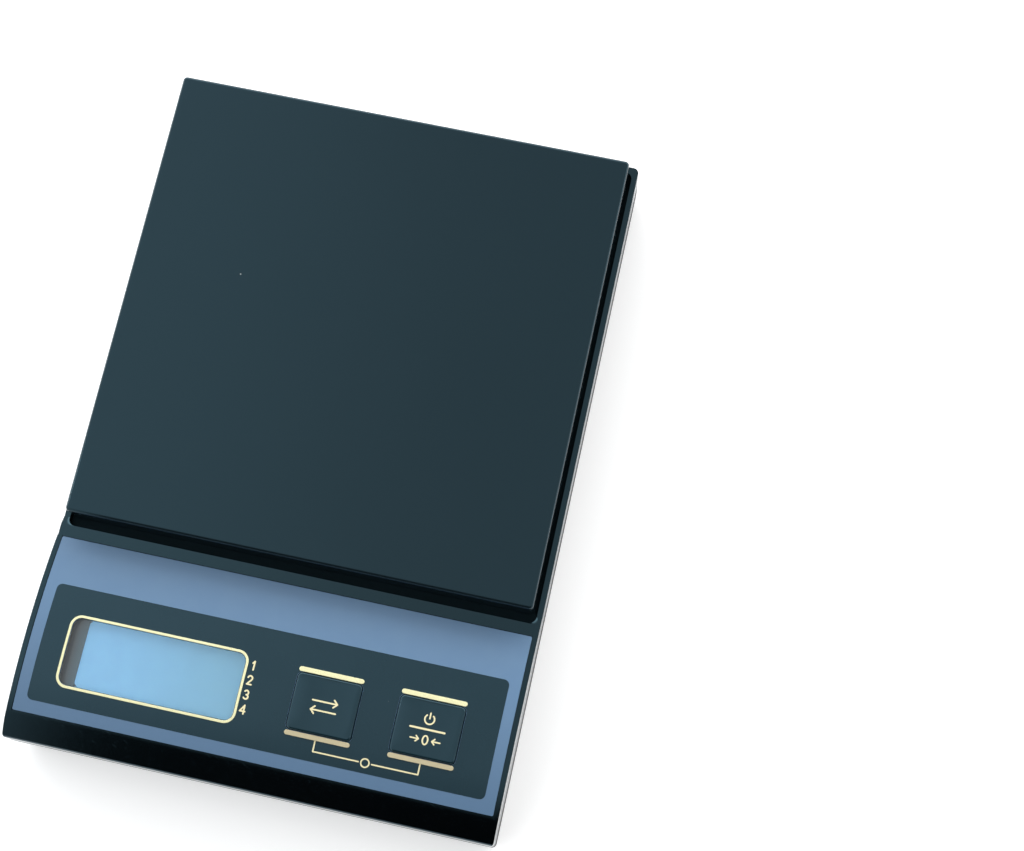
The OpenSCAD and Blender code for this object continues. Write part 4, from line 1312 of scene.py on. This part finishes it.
@dataclass
class DisplayWindow:
    """Lens, bezel and blank display.

    Attributes:
        crown: The panel's crown.
        lit_x: Left side of the display's clear area.
        lit_front: Its front side, behind the panel's front face.
        lit_rear: Its rear side, likewise.
        lit_r: Its corner radius.
    """

    crown: Crown
    lit_x: float = -40.3
    lit_front: float = 13.6
    lit_rear: float = 27.3
    lit_r: float = 1.6

    def build(self) -> None:
        """Builds the lens and the display's face, and dresses the rest."""
        low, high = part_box("display_lens")
        cx, cy = (low.x + high.x) / 2 / MM, (low.y + high.y) / 2 / MM
        lens = CrownedBlock(
            self.crown, cx, cy, w=37.1, l=14.0, r=1.8, lift=-0.05, edge=0.15,
            foot_z=low.z / MM, flange_z=17.5, flange=1.3,
        )
        dress(lens.form().piece("window_lens", Body.BASE, replaces=["display_lens"]), FINISHES["clear_lens"])
        glass_low, glass_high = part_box("display_glass")
        face = round_rect(glass_low.x / MM + 0.6, glass_high.x / MM - 0.6, glass_low.y / MM + 0.6,
                          glass_high.y / MM - 0.6, 0.3, 4)
        top = glass_high.z / MM

        def flat(x: float, y: float, lift: float) -> Vector:
            """The display glass's top, raised by lift."""
            return Vector((x, y, top + lift))

        film = Form().film(Region([face]), flat, -0.05, 0.04, 6.0).piece("display_face", Body.BASE)
        dress(film, FINISHES["display_film"])
        lit = round_rect(self.lit_x, -3.0, FRONT + self.lit_front, FRONT + self.lit_rear, self.lit_r)
        # The border is a flat sheet whose bezel_grey step along X is painted shade of the bezel's rail
        border = Form().film(Region([face], [lit]), flat, 0.03, 0.07, 6.0).piece("display_border", Body.BASE)
        dress(border, FINISHES["bezel_grey"])


@dataclass
class Key:
    """One key cap and its sign.

    Attributes:
        crown: The panel's crown.
        node: The CAD node that it replaces.
        body: The body that it rides on.
        x: Its middle across.
        y: Its middle along.
        marks: Outlines of its sign.
        stem_r: Radius of its stem.
    """

    crown: Crown
    node: str
    body: Body
    x: float
    y: float
    marks: list[Loop]
    stem_r: float = 2.2

    def build(self) -> None:
        """Builds the cap, its stem and its sign."""
        cap = CrownedBlock(
            self.crown, self.x, self.y, w=13.7, l=11.8, r=1.0, lift=0.5, edge=0.45,
            foot_z=16.6, flange_z=17.4, flange=1.0, dish=0.12,
        )
        form = cap.form()
        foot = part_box(self.node)[0].z / MM + 0.02
        stem = [ring(bow(self.x, self.y, self.stem_r, self.stem_r, 0, 345, 23), z) for z in (foot, 16.7)]
        form.loft(stem)
        made = form.piece(self.node.replace("key", "cap"), self.body, replaces=[self.node])
        dress(made, FINISHES["key_gloss"])
        legend = Form().film(Region(self.marks), cap.top, -0.02, 0.025, 1.5)
        dress(legend.piece(self.node.replace("key", "legend"), self.body), LEGEND_GOLD, "gold_legend")


# Slot, width of the easing in mm, and the nodes that take them
WORKS: tuple[tuple[str, float, str], ...] = (
    ("black_foam", 0.0, "lens_gasket"), ("bezel_grey", 0.1, "display_bezel"),
    ("case_gloss", 0.05, "display_glass"), ("strip_rubber", 0.05, "contact_strips"),
    ("board_green", 0.0, "main_board"), ("screw_zinc", 0.0, "board_screws"),
    ("chip_black", 0.1, "processor_chip converter_chip"), ("can_steel", 0.1, "clock_crystal"),
    ("can_aluminium", 0.1, "capacitors"), ("chip_black", 0.05, "resistors"),
    ("socket_ivory", 0.1, "gauge_socket power_socket"), ("lead_grey", 0.0, "gauge_cable"),
    ("lead_red", 0.0, "battery_leads"), ("screw_zinc", 0.1, "load_cell_screws carrier_screws"),
    ("spacer_aluminium", 0.15, "load_spacer"), ("carrier_plastic", 0.15, "tray_carrier"),
    ("pad_rubber", 0.2, "tray_pads"), ("stop_brass", 0.1, "overload_stops"),
    ("cell_jacket", 0.1, "battery_cells"), ("contact_nickel", 0.0, "battery_springs"),
    ("contact_nickel", 0.05, "battery_plates"), ("screw_black", 0.1, "case_screws"),
    ("foot_rubber", 0.15, "rubber_feet"), ("label_foil", 0.06, "blank_label"),
)


@dataclass
class GivingParts:
    """The rubber domes and the gauged beam, with its gauges and their coating.

    Attributes:
        press: Travel of a key; not used.
        bend: Two places along X from which two points on the beam are worked out.
    """

    press: float = 0.5
    bend: tuple[float, float] = (-14.0, 14.0)

    def domes(self) -> None:
        """Builds the domes as copies of their CAD nodes on the base."""
        for name, joint in (("mode_dome", "mode_press"), ("tare_dome", "tare_press")):
            low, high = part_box(name)
            dome = copied(name).piece(name.replace("dome", "rubber_dome"), Body.BASE, replaces=[name])
            dress(dome, FINISHES["dome_silicone"])
            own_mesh(dome)

    def beam(self) -> None:
        """Builds the beam with its gauges and their coating, as copies of their CAD nodes on no body."""
        low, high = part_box("load_cell")
        start, end = ((x * MM, (low.y + high.y) / 2, low.z) for x in self.bend)
        parts = (
            ("load_cell", "bending_beam", "beam_aluminium", 0.15),
            ("strain_gauges", "bonded_gauges", "gauge_foil", 0.0),
            ("gauge_coating", "soft_coating", "coating_silicone", 0.1),
        )
        for node, name, slot, width in parts:
            piece = copied(node).piece(name, None, replaces=[node])
            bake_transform(piece)
            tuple(start)
            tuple(end)
            refine(piece, width, 2)
            dress(piece, FINISHES[slot])

    def build(self) -> None:
        """Builds them all."""
        self.domes()
        self.beam()


@dataclass
class Works:
    """Everything inside and underneath that keeps its CAD shape."""

    def dress(self) -> None:
        """Dresses each node."""
        for slot, width, names in WORKS:
            for name in names.split():
                node = frame["nodes"][name]
                refine(node, width, 2)
                dress(node, FINISHES[slot])
            log.info("%s dressed", names)


def main() -> None:
    """Builds the scene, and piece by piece."""
    logging.basicConfig(level=logging.INFO, format="%(message)s")
    Studio().build()
    overlay_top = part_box("control_overlay")[1].z / MM
    crown = Crown(91.0, FRONT + 19.7, overlay_top)
    mode_low, mode_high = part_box("mode_key")
    tare_low, tare_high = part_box("tare_key")
    mode_x, tare_x = ((a.x + b.x) / 2 / MM for a, b in ((mode_low, mode_high), (tare_low, tare_high)))
    keys_y = (mode_low.y + mode_high.y) / 2 / MM
    WeighingTray().build()
    CaseShells().dress()
    ControlPanel(crown, (mode_x, tare_x), keys_y, (-42.9, -5.6, FRONT + 13.2, FRONT + 27.4)).build()
    DisplayWindow(crown).build()
    middle = FRONT + 20.2
    Key(crown, "mode_key", Body.MODE, mode_x, keys_y, swap_mark(mode_x, middle)).build()
    bar = [ribbon([(tare_x - 3.6, middle), (tare_x + 3.6, middle)], 0.4)]
    signs = power_mark(tare_x, FRONT + 22.3) + bar + zero_mark(tare_x, FRONT + 18.05)
    Key(crown, "tare_key", Body.TARE, tare_x, keys_y, signs).build()
    GivingParts().build()
    Works().dress()


if __name__ == "__main__":
    main()
